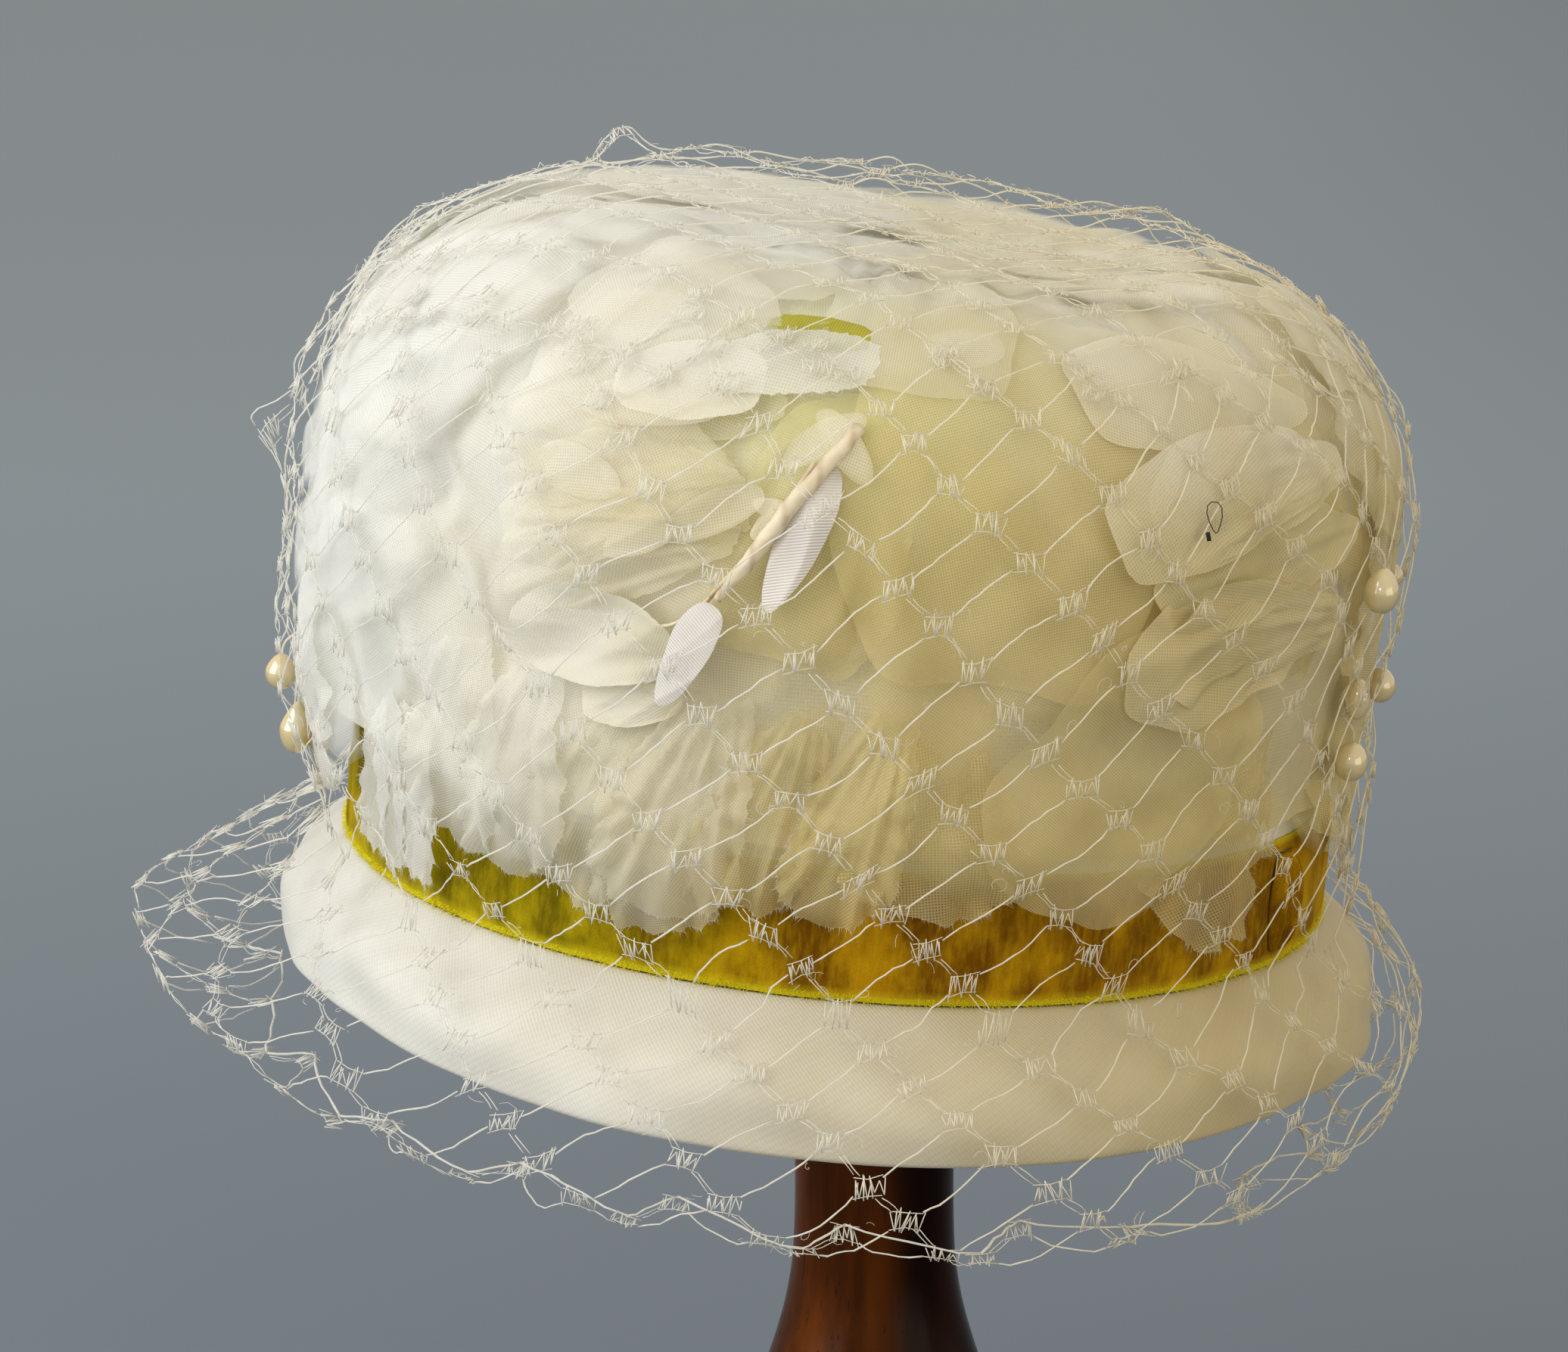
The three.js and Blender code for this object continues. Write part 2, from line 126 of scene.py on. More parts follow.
# %% [markdown]
# ## Writing shaders as sums
# A pattern is easier to read as a formula than as a drawing of boxes. Wire holds one output of a node, and
# adding, subtracting or multiplying Wires adds the Math nodes. Finish is a material being written. Its
# method called node puts in any node, with the settings first and then the values or Wires of its sockets,
# and the other methods are the patterns and mixes that several materials share.

# %% Wires and finishes
class Wire:
    """One output of a node. Arithmetic on it adds Math nodes, whichever side the Wire stands on."""

    def __init__(self, finish, socket):
        self.finish = finish
        self.socket = socket

    def maths(self, operation, first, second):
        return self.finish.node("ShaderNodeMath", {"operation": operation}, {0: first, 1: second})

    def __add__(self, other):
        return self.maths("ADD", self, other)

    def __sub__(self, other):
        return self.maths("SUBTRACT", self, other)

    def __rsub__(self, other):
        return self.maths("SUBTRACT", other, self)

    def __mul__(self, other):
        return self.maths("MULTIPLY", self, other)

    __radd__ = __add__
    __rmul__ = __mul__


class Finish:
    """A material whose nodes are written one after another."""

    def __init__(self, name):
        self.material = bpy.data.materials.new(name)
        self.material.use_nodes = True
        self.tree = self.material.node_tree
        self.tree.nodes.clear()

    def node(self, kind, settings=None, sockets=None, out=0):
        """Adds a node of this type, sets it, fills its sockets, and returns the output asked for."""
        made = self.tree.nodes.new(kind)
        for key, value in (settings or {}).items():
            setattr(made, key, value)
        for key, value in (sockets or {}).items():
            if isinstance(value, Wire):
                self.tree.links.new(value.socket, made.inputs[key])
            else:
                made.inputs[key].default_value = value
        return Wire(self, made.outputs[out]) if len(made.outputs) else None

    def place(self, stretch=(1, 1, 1)):
        """Object coordinates in millimetres, stretched along each axis."""
        place = self.node("ShaderNodeTexCoord", out="Object")
        scale = tuple(side / MM for side in stretch)
        return self.node("ShaderNodeMapping", None, {"Vector": place, "Scale": scale})

    def cloth_place(self, stretch=(1, 1, 1), turn=0.0):
        """The cloth's own UV map in millimetres, turned and stretched."""
        uv = self.node("ShaderNodeUVMap", {"uv_map": "cloth"})
        scale = tuple(side / MM for side in stretch)
        return self.node("ShaderNodeMapping", None, {"Vector": uv, "Rotation": (0, 0, turn), "Scale": scale})

    def noise(self, place, size, detail=2.0, rough=0.5):
        """Soft noise whose lumps are about size millimetres across."""
        sockets = {"Vector": place, "Scale": 1.0 / size, "Detail": detail, "Roughness": rough}
        return self.node("ShaderNodeTexNoise", None, sockets)

    def threads(self, place, pitch, axis):
        """Rows of threads, pitch millimetres apart, that rise and fall as a sine."""
        wave = {"wave_type": "BANDS", "bands_direction": axis, "wave_profile": "SIN"}
        sockets = {"Vector": place, "Scale": math.pi / (10.0 * pitch), "Distortion": 0.0}
        return self.node("ShaderNodeTexWave", wave, sockets, out="Fac")

    def between(self, value, low, high):
        """Spreads the part of a value from low to high over 0 to 1, smoothly."""
        sockets = {"Value": value, "From Min": low, "From Max": high}
        return self.node("ShaderNodeMapRange", {"interpolation_type": "SMOOTHSTEP"}, sockets)

    def blend(self, share, first, second):
        """Mixes two colours by a share."""
        first, second = (c if isinstance(c, Wire) else (*c, 1.0) for c in (first, second))
        return self.node("ShaderNodeMix", {"data_type": "RGBA"}, {0: share, 6: first, 7: second}, out=2)

    def attribute(self, name):
        """A named value that the mesh holds at its points."""
        return self.node("ShaderNodeAttribute", {"attribute_name": name}, out="Fac")

    def bump(self, height, depth, strength=1.0):
        """A normal from a height of 0 to 1 that stands for depth millimetres."""
        sockets = {"Height": height, "Distance": depth * MM, "Strength": strength}
        return self.node("ShaderNodeBump", None, sockets)

    def mixed(self, share, first, second):
        """Mixes two shaders by a share."""
        return self.node("ShaderNodeMixShader", None, {0: share, 1: first, 2: second})

    def colour_of(self, recipe):
        """A colour from its recipe: a plain colour, or a share and the two recipes that it mixes."""
        if not isinstance(recipe[-1], tuple):
            return recipe
        share, first, second = recipe
        return self.blend(share, self.colour_of(first), self.colour_of(second))

    def lit_behind(self, recipe):
        """Light let through from behind, by the same recipe: shaders of plain colours, mixed by shares."""
        if not isinstance(recipe[-1], tuple):
            return self.node("ShaderNodeBsdfTranslucent", None, {"Color": (*recipe, 1.0)})
        share, first, second = recipe
        return self.mixed(share, self.lit_behind(first), self.lit_behind(second))

    def sideways(self):
        """Object X in millimetres, which grows from the hat's left to its right."""
        return self.node("ShaderNodeSeparateXYZ", None, {0: self.place()}, out="X")

    def coat(self, colour, rough, normal=None, others=None):
        """The standard shader: its colour, roughness and normal, and any other sockets by name."""
        sockets = {"Base Color": colour, "Roughness": rough, **(others or {})}
        if normal:
            sockets["Normal"] = normal
        return self.node("ShaderNodeBsdfPrincipled", None, sockets)

    def show(self, shader):
        self.node("ShaderNodeOutputMaterial", None, {"Surface": shader})
        return self.material


print("what a finish can do:", ", ".join(name for name in vars(Finish) if not name.startswith("_")))

# %% [markdown]
# ## Stage and light
# The room is plain: a wide matt floor in a soft grey-blue, a pale sky that lights every side alike, a large
# cool lamp like a window on the left, a weak warm one on the right, and a small one high in front that
# puts a glint on the beads.

# %% Floor, sky and lamps
FLOOR_RADIUS = 12.0
FLOOR_STEPS = 96
SKY_COLOUR = (1.0, 0.95, 0.84, 1.0)
SKY_STRENGTH = 0.77
LAMPS = {
    "window": ((-1.35, -0.7, 0.95), 1.5, 21.0, (0.97, 0.985, 1.0)),
    "warm_fill": ((1.3, -1.2, 0.25), 1.4, 8.5, (1.0, 0.88, 0.68)),
    "glint": ((-0.35, -1.5, 1.0), 0.2, 1.0, (1.0, 0.98, 0.94)),
}
# The floor's colour is painted: darker near the stand as painted shade and lighter far off as painted light,
# for the backdrop's uneven light.
NEAR_FLOOR_SHADE = (0.146, 0.177, 0.220)
FAR_FLOOR_LIGHT = (0.243, 0.289, 0.341)


def add_floor():
    """A flat round floor with its centre under the stand."""
    turn = np.linspace(0, 2 * math.pi, FLOOR_STEPS, endpoint=False)
    points = np.stack([np.cos(turn), np.sin(turn), 0 * turn], -1) * FLOOR_RADIUS
    mesh = bpy.data.meshes.new("floor")
    mesh.from_pydata(points.tolist(), [], [list(range(FLOOR_STEPS))])
    floor = bpy.data.objects.new("floor", mesh)
    bpy.context.scene.collection.objects.link(floor)
    finish = Finish("matt_floor")
    length = {"operation": "LENGTH"}
    far_off = finish.node("ShaderNodeVectorMath", length, {0: finish.place()}, out="Value")
    mottle = finish.noise(finish.place(), 900.0)
    across = finish.sideways()
    # Painted shade and light on the floor: it darkens far to the right and near the stand, and grows lighter
    # far off, with some random mottling.
    painted_dimming = finish.between(across, 160.0, 560.0) * 0.45
    share = finish.between(far_off, 150.0, 1400.0) + 0.12 * (mottle - 0.5) - painted_dimming
    colour = finish.blend(share, NEAR_FLOOR_SHADE, FAR_FLOOR_LIGHT)
    mesh.materials.append(finish.show(finish.coat(colour, 0.9)))
    floor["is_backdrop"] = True


def add_lamp(name, place, size, power, colour):
    """A square lamp that faces the crown."""
    data = bpy.data.lights.new(name, "AREA")
    data.size = size
    data.energy = power
    data.color = colour
    lamp = bpy.data.objects.new(name, data)
    lamp.location = place
    aim = Vector(BASE_MIDDLE) + Vector((0, 0, 0.05)) - Vector(place)
    lamp.rotation_mode = "QUATERNION"
    lamp.rotation_quaternion = aim.to_track_quat("-Z", "Y")
    bpy.context.scene.collection.objects.link(lamp)


def add_sky():
    """The same soft light from every side."""
    world = bpy.data.worlds.new("room")
    world.use_nodes = True
    sky = world.node_tree.nodes["Background"]
    sky.inputs["Color"].default_value = SKY_COLOUR
    sky.inputs["Strength"].default_value = SKY_STRENGTH
    bpy.context.scene.world = world


add_floor()
add_sky()
for name, lamp in LAMPS.items():
    add_lamp(name, *lamp)
bpy.context.scene.view_settings.view_transform = "Standard"
print("lamps:", ", ".join(LAMPS))

# %% [markdown]
# ## Meshes from arrays
# Every shape below is a set of points worked out as whole arrays. These helpers number the faces of a grid
# and of a disc, and put the arrays into a mesh at once, which is much faster than adding points in a loop.

# %% Faces and meshes
def grid_faces(rows, columns, closed=False):
    """Corner numbers of the four-sided faces of a grid, whose columns may run round and meet."""
    width = columns if closed else columns - 1
    row, column = np.meshgrid(np.arange(rows - 1) * columns, np.arange(width), indexing="ij")
    right = (column + 1) % columns
    corners = [row + column, row + right, row + columns + right, row + columns + column]
    return np.stack(corners, -1).reshape(-1, 4)


def end_faces(rows, columns):
    """The two many-sided faces that close the first and the last row of a grid that runs round."""
    first = np.arange(columns)[None, :]
    return [first[:, ::-1], (rows - 1) * columns + first]


def disc_faces(rings, turns):
    """Faces of a disc: point 0 is its middle, and the rings follow outwards."""
    here = np.arange(turns)
    fan = np.stack([np.zeros(turns, int), 1 + here, 1 + (here + 1) % turns], -1)
    return [fan, 1 + grid_faces(rings, turns, True)[:, ::-1]]


def add_piece(name, points, faces, uv=None, marks=None):
    """A mesh object from metres, lists of faces, cloth coordinates and named values at its points."""
    mesh = bpy.data.meshes.new(name)
    points = np.asarray(points, float).reshape(-1, 3)
    corners = np.concatenate([f.ravel() for f in faces]).astype(np.int32)
    sides = np.concatenate([np.full(len(f), f.shape[1]) for f in faces]).astype(np.int32)
    mesh.vertices.add(len(points))
    mesh.vertices.foreach_set("co", points.ravel())
    mesh.loops.add(len(corners))
    mesh.loops.foreach_set("vertex_index", corners)
    mesh.polygons.add(len(sides))
    mesh.polygons.foreach_set("loop_start", (np.cumsum(sides) - sides).astype(np.int32))
    mesh.polygons.foreach_set("use_smooth", np.full(len(sides), True))
    mesh.update(calc_edges=True)
    if uv is not None:
        layer = mesh.uv_layers.new(name="cloth")
        layer.data.foreach_set("uv", np.asarray(uv, float).reshape(-1, 2)[corners].ravel())
    for mark, values in (marks or {}).items():
        attribute = mesh.attributes.new(mark, "FLOAT", "POINT")
        attribute.data.foreach_set("value", np.asarray(values, float).ravel())
    piece = bpy.data.objects.new(name, mesh)
    bpy.context.scene.collection.objects.link(piece)
    return piece


def dress(piece, finish, slot, *nodes):
    """Gives a piece its finish, body and the CAD nodes that it stands for; slot is not used."""
    piece.data.materials.append(finish)
    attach(piece, "root")
    if nodes:
        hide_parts(*nodes)
    return piece


def hat_piece(name, points, faces, uv=None, marks=None):
    """A piece whose points are in the hat's own millimetres."""
    return add_piece(name, to_world(points), faces, uv, marks)


def joined(parts):
    """Joins (points, faces, uv, marks) of several shapes into one set of arrays."""
    starts = np.cumsum([0] + [len(part[0]) for part in parts])
    points = np.concatenate([part[0] for part in parts])
    faces = [f + start for part, start in zip(parts, starts) for f in part[1]]
    uv = np.concatenate([part[2] for part in parts])
    marks = {mark: np.concatenate([part[3][mark] for part in parts]) for mark in parts[0][3]}
    return points, faces, uv, marks


print("faces of a grid of 3 by 4 points:", len(grid_faces(3, 4)))

# %% [markdown]
# ## The wooden stand
# The stand is one turning of dark, oiled hardwood: a broad foot, a swelling stem and a domed head under the
# hat. A turner's gouge leaves smooth curves, so each profile is drawn through its points with a rounded
# curve and then spun round the upright axis.

# %% Turned profiles
FOOT = [(0, 0), (72, 0), (75, 3), (75, 9), (71, 13), (60, 15), (40, 18), (26, 21), (0, 21)]
STEM = [(20, 21.3), (20.5, 26.3), (14, 31.3), (17, 39.3), (24.5, 52.3), (27, 64.3), (25, 77.3)]
STEM += [(20, 91.3), (16.7, 104.3), (15.5, 118.3), (15.5, 150), (15.5, 190), (15.5, 230), (15.5, 272.3)]
HEAD = [(0, 272.6), (36, 272.6), (43, 276.6), (45, 282.6), (42, 289.1), (30, 295.6), (15, 299.4), (0, 300.6)]
LATHE_TURNS = 96


def rounded(points, per_span):
    """A Catmull-Rom curve through the points, per_span steps from each to the next."""
    points = np.asarray(points, float)
    ends = np.concatenate([2 * points[:1] - points[1:2], points, 2 * points[-1:] - points[-2:-1]])
    t = np.linspace(0, 1, per_span, endpoint=False)[None, :, None]
    a, b, c, d = (ends[i : len(ends) - 3 + i, None] for i in range(4))
    curve = 0.5 * (2 * b + (c - a) * t + (2 * a - 5 * b + 4 * c - d) * t**2 + (3 * b - a - 3 * c + d) * t**3)
    return np.concatenate([curve.reshape(-1, points.shape[1]), points[-1:]])


def turned(name, profile):
    """Spins a profile of (radius, height) round Z: the first ring is the lowest."""
    radius, height = np.maximum(profile[:, 0], 0), profile[:, 1]
    turn = np.linspace(0, 2 * math.pi, LATHE_TURNS, endpoint=False)
    x = radius[:, None] * np.cos(turn)
    y = radius[:, None] * np.sin(turn)
    points = np.stack([x, y, np.broadcast_to(height[:, None], x.shape)], -1).reshape(-1, 3) * MM
    walls = grid_faces(len(profile), LATHE_TURNS, True)
    return add_piece(name, points, [walls, *end_faces(len(profile), LATHE_TURNS)])


def wood():
    """Dark hardwood: long grain up the axis, lighter reddish figure, pores, a worn oil polish, and painted
    shade that turns the right side nearly black.
    """
    finish = Finish("dark_wood")
    grain = finish.noise(finish.place((1, 1, 0.06)), 2.2, 5.0, 0.62)
    figure = finish.noise(finish.place((1, 1, 0.12)), 17.0, 3.0)
    pores = finish.between(finish.noise(finish.place((1, 1, 0.04)), 0.7, 2.0), 0.62, 0.75)
    dark = finish.blend(grain, (0.012, 0.003, 0.0004), (0.110, 0.026, 0.002))
    red = finish.blend(finish.between(figure, 0.42, 0.68), dark, (0.21, 0.050, 0.003))
    across = finish.sideways()
    # Painted shade: the side away from the window lamp is blended to nearly black, along an edge that
    # wanders with the figure.
    right_side_shade = finish.between(across + 6 * (figure - 0.5), -7.0, 9.0) * 0.93
    darkened = finish.blend(right_side_shade, red, (0.002, 0.0003, 0.0003))
    colour = finish.blend(pores * 0.7, darkened, (0.010, 0.004, 0.002))
    rough = 0.14 + 0.14 * grain + 0.2 * pores
    normal = finish.bump(grain - pores * 0.8, 0.05, 0.5)
    return finish.show(finish.coat(colour, rough, normal, {"Specular IOR Level": 0.06}))


WOOD = wood()
foot_curve = np.concatenate([[(1, 0), (70, 0)], rounded(FOOT[1:8], 6), [(1, 21)]])
head_curve = np.concatenate([[(1, 272.6), (34, 272.6)], rounded(HEAD[1:7], 8), [(1, 300.6)]])
dress(turned("turned_foot", foot_curve), WOOD, "dark_wood", "stand_foot")
dress(turned("turned_stem", rounded(STEM, 8)), WOOD, "dark_wood", "stand_stem")
dress(turned("turned_head", head_curve), WOOD, "dark_wood", "stand_head")
print("stand, mm high:", HEAD[-1][1])

# %% [markdown]
# ## The crown's form
# A blocked felt crown is round at the sides, nearly flat on top and tightly rounded between. A
# superellipsoid has just that form. Everything on the hat is laid over it, so these functions find a place
# on the crown from a compass turn and a lift, the direction that points straight out, and the height at
# which each layer lies.

# %% Places on the crown
def smooth_step(value, low, high):
    """0 below low, 1 above high, and an S-shaped rise between."""
    share = np.clip((value - low) / (high - low), 0, 1)
    return share * share * (3 - 2 * share)


def crown_measure(points):
    """How far out (in half-widths) and how far up (in crown heights) points are."""
    rho = np.hypot(points[..., 0] / HALF_WIDTH, points[..., 1] / HALF_DEPTH)
    return rho, np.maximum(points[..., 2], 0) / CROWN_HEIGHT


def onto_crown(points):
    """Scales points from the base's middle until rho^n + rise^n is 1."""
    rho, rise = crown_measure(points)
    return points * ((rho**BOXINESS + rise**BOXINESS) ** (-1 / BOXINESS))[..., None]


def unit(vectors):
    """Vectors divided by their own length."""
    return vectors / np.maximum(np.linalg.norm(vectors, axis=-1, keepdims=True), 1e-9)


def outward(points):
    """The slope of the crown's formula, which points straight out of the felt."""
    rho, rise = crown_measure(points)
    side = rho ** (BOXINESS - 2)
    x = side * points[..., 0] / HALF_WIDTH**2
    y = side * points[..., 1] / HALF_DEPTH**2
    return unit(np.stack([x, y, rise ** (BOXINESS - 1) / CROWN_HEIGHT], -1))


def crown_spot(around, lift):
    """The crown's surface at degrees round from the front, right positive, and degrees up from the base."""
    a, b = np.radians(around), np.radians(lift)
    x = HALF_WIDTH * np.cos(b) * np.sin(a)
    y = -HALF_DEPTH * np.cos(b) * np.cos(a)
    return onto_crown(np.stack(np.broadcast_arrays(x, y, CROWN_HEIGHT * np.sin(b)), -1))


def ends_on(places):
    """A root and a tip on the crown, from root around, root lift, tip around and tip lift."""
    return crown_spot(*places[:2]), crown_spot(*places[2:])


print("crown's top and the front of its base, mm:", crown_spot(0, 90).round(1), crown_spot(0, 0).round(1))

# %% [markdown]
# ## How high each layer lies
# Petals are sewn on in layers, and the layers are fuller on the left and over the shoulders than over the
# ribbon. One function gives the height of the lowest petals over the felt, and one the room between them
# and the veil. Both are sums of S-shaped steps, so that nothing has a sudden edge.

# %% Heights of petals and veil
FIRST_LAYER = 2.1
LAYER_PITCH = 1.25
PETAL_MIDDLE = 0.5
PUFF_SIDE = 2.8
PUFF_LEFT = 8.6
PUFF_RIGHT = -1.9
PUFF_SHOULDER = 6.0
PUFF_FROM = -4.0
PUFF_TO = 32.0
TOP_DROP = 1.5
VEIL_FRONT = 8.2
VEIL_SIDE = 3.1
VEIL_TOP_DROP = 3.4
CREST = 2.0


def crest(points):
    """Where the upper petals stand right up against the veil: high on the crown, most on the left."""
    return smooth_step(points[..., 2], 48, 90) * (1 - 0.5 * smooth_step(points[..., 0], 0, 60))


def puff(points):
    """Height of the lowest petals: small over the band, more on the left, fullest at the side shoulders."""
    rho, rise = crown_measure(points)
    flat = np.maximum(np.hypot(points[..., 0], points[..., 1]), 1)
    left = 0.5 - 0.5 * points[..., 0] / flat
    right = np.clip(points[..., 0] / flat, 0, 1) ** 2
    shoulder = (points[..., 0] / flat) ** 2 * smooth_step(rho * rise, 0.35, 0.76)
    full = PUFF_SIDE + (PUFF_LEFT * left + PUFF_RIGHT * right) * smooth_step(rise, -0.6, 0.6) * rho
    full += PUFF_SHOULDER * shoulder * (1 - 0.7 * left) + CREST * crest(points)
    pressed = (1 - smooth_step(rho, 0.5, 0.95)) * (0.3 + 0.7 * smooth_step(points[..., 1], -60, 30))
    return FIRST_LAYER + smooth_step(points[..., 2], PUFF_FROM, PUFF_TO) * full - TOP_DROP * pressed


def veil_clearance(points):
    """How far the veil stands off the lowest petals: more in front than at the sides and on top."""
    sideways = (points[..., 0] / HALF_WIDTH) ** 6
    top = smooth_step(points[..., 2], 80, 104)
    return VEIL_FRONT * (1 - sideways) + VEIL_SIDE * sideways - VEIL_TOP_DROP * top - CREST * crest(points)


around_low = crown_spot(np.array([-90, 0, 90, 180]), 30)
print("lowest petals over the felt at the left, front, right and back, mm:", puff(around_low).round(1))

# %% [markdown]
# ## Folds that cross the layers
# Thin cloth passes its folds on to the cloth that lies over it. So all layers share one relief, a fan of
# ridges round the flower's deep middle over soft random swells, and each petal adds its own smaller folds.
# A soft random swell is a sum of a few sines with random directions, which costs nothing and never repeats.

# %% Shared relief
FAN_DEPTH = 1.7
SWELLS = ((28.0, 1.5, 7), (12.0, 0.8, 8))
SWELL_GAIN = 1.6
SINK = 0.7
DEEP_SPOT = crown_spot(-4.0, 45.0)


def swell(points, size, seed, count=4):
    """Soft random relief about size across, from -1 to 1: a sum of sines along random directions."""
    rng = np.random.default_rng(seed)
    turn = unit(rng.normal(size=(count, 3)))
    start = rng.uniform(0, 2 * math.pi, count)
    pitch = size * rng.uniform(0.7, 1.4, count)
    return np.sin(2 * math.pi * (points @ turn.T) / pitch + start).mean(-1) * SWELL_GAIN


def ridges(angle):
    """Folds with sharp tops and round hollows: the size of a sine, turned over and centred."""
    return 0.64 - np.abs(np.sin(angle))


def relief(points):
    """Folds that all layers share: they fan out from the flower's deep middle, over two random swells."""
    away = points - DEEP_SPOT
    reach = np.linalg.norm(away, axis=-1)
    angle = np.arctan2(away[..., 2], away[..., 0])
    fan = 1.3 * ridges(4.5 * angle + 1.1 * swell(points, 60.0, 5))
    fan += 0.8 * ridges(9.5 * angle + 1.2 * swell(points, 45.0, 6))
    fade = smooth_step(reach, 5, 30) * (1 - smooth_step(reach, 60, 105))
    folds = FAN_DEPTH * fan * fade
    for size, depth, seed in SWELLS:
        folds = folds + depth * swell(points, size, seed)
    return (folds - SINK) * (0.15 + 0.85 * smooth_step(points[..., 2], 6, 34))


def waves(x, y, size, rng, count=5):
    """The same soft swell over a flat cloth: a sum of sines with random directions, from -1 to 1."""
    turn = rng.uniform(0, math.pi, count)
    pitch = size * rng.uniform(0.7, 1.5, count)
    start = rng.uniform(0, 2 * math.pi, count)
    along = x[..., None] * np.cos(turn) + y[..., None] * np.sin(turn)
    return np.sin(2 * math.pi * along / pitch + start).mean(-1) * SWELL_GAIN


print("flower's deep middle, mm:", DEEP_SPOT.round(1))

# %% [markdown]
# ## Felt crown
# Under the petals is a plain blocked felt, two millimetres thick. A felt hood is steamed, pulled over a
# wooden block and left to dry, which gives one smooth wall without a seam. It shows only from below, so it
# is one closed wall with a hairy, mottled finish.

# %% Felt crown
WALL_TURNS = 128
CROWN_RINGS = 44


def ring_turns(count):
    """Degrees round the hat, from the back and round to it, so that every seam is at the back."""
    return np.linspace(180, 540, count, endpoint=False)


def felt():
    """Wool felt: cloudy cream, with paler hairs and a fine hairy bump."""
    finish = Finish("cream_felt")
    fibres = finish.noise(finish.place(), 0.8, 4.0, 0.7)
    clouds = finish.noise(finish.place(), 14.0)
    colour = finish.blend(clouds, (0.62, 0.56, 0.36), (0.74, 0.69, 0.50))
    hairy = finish.blend(finish.between(fibres, 0.45, 0.75) * 0.35, colour, (0.85, 0.81, 0.66))
    return finish.show(finish.coat(hairy, 0.95, finish.bump(fibres, 0.25), {"Sheen Weight": 0.3}))


def felt_crown():
    """Rings down the outside, round the open edge, and up the inside; both poles are one face."""
    lift = np.concatenate([np.linspace(POLE_LIFT, 0, CROWN_RINGS), np.linspace(0, POLE_LIFT, CROWN_RINGS)])
    depth = np.concatenate([np.zeros(CROWN_RINGS), np.full(CROWN_RINGS, CROWN_WALL)])
    spots = crown_spot(ring_turns(WALL_TURNS)[None, :], lift[:, None])
    points = spots - outward(spots) * depth[:, None, None]
    faces = grid_faces(2 * CROWN_RINGS, WALL_TURNS, True)[:, ::-1]
    caps = [cap[:, ::-1] for cap in end_faces(2 * CROWN_RINGS, WALL_TURNS)]
    return hat_piece("felt_crown", points, [faces, *caps])


dress(felt_crown(), felt(), "felt", "crown_shell")
print("felt crown, mm wide, deep and high:", 2 * HALF_WIDTH, 2 * HALF_DEPTH, CROWN_HEIGHT)

# %% [markdown]
# ## Satin brim
# The brim is satin laid over a stiff strip, cut on the bias and turned under at its edge. Real satin shows
# a fine diagonal twill, soft hollows where the cloth is not quite flat, and a rounded, padded fold. The
# shape is one looped profile swept round the crown, with slow swells added to the outside.

# %% Brim
BRIM_REACH = {"left": 12.5, "front": 17.5, "right": 14.0, "back": 12.0}
BRIM_DROP = {"left": 19.0, "front": 23.5, "right": 19.0, "back": 17.0}
BRIM_START = 1.5
BRIM_WALL = 2.2
PIECE_GAP = 0.3
BRIM_TURNS = 288
BRIM_ROWS = 26
FOLD_ROWS = 8


def by_side(sides, around):
    """Blends the four sides' values round the crown, by the squares of sine and cosine."""
    a = np.radians(around)
    across = np.where(np.sin(a) < 0, sides["left"], sides["right"])
    lengthways = np.where(np.cos(a) > 0, sides["front"], sides["back"])
    return across * np.sin(a) ** 2 + lengthways * np.cos(a) ** 2


def skirt_spot(around, reach, height):
    """A point that stands outside the crown's base outline by a reach, at a height."""
    a = np.radians(around)
    x = (HALF_WIDTH + reach) * np.sin(a)
    y = -(HALF_DEPTH + reach) * np.cos(a)
    return np.stack(np.broadcast_arrays(x, y, height), -1)


def brim_point(around, share, inset):
    """The brim's wall: reach grows as a sine of the share, drop grows evenly."""
    flare = np.sin(share * math.pi / 2) ** 0.9
    reach = BRIM_START + (by_side(BRIM_REACH, around) - BRIM_START) * flare - inset
    return skirt_spot(around, reach, -PIECE_GAP - by_side(BRIM_DROP, around) * share)


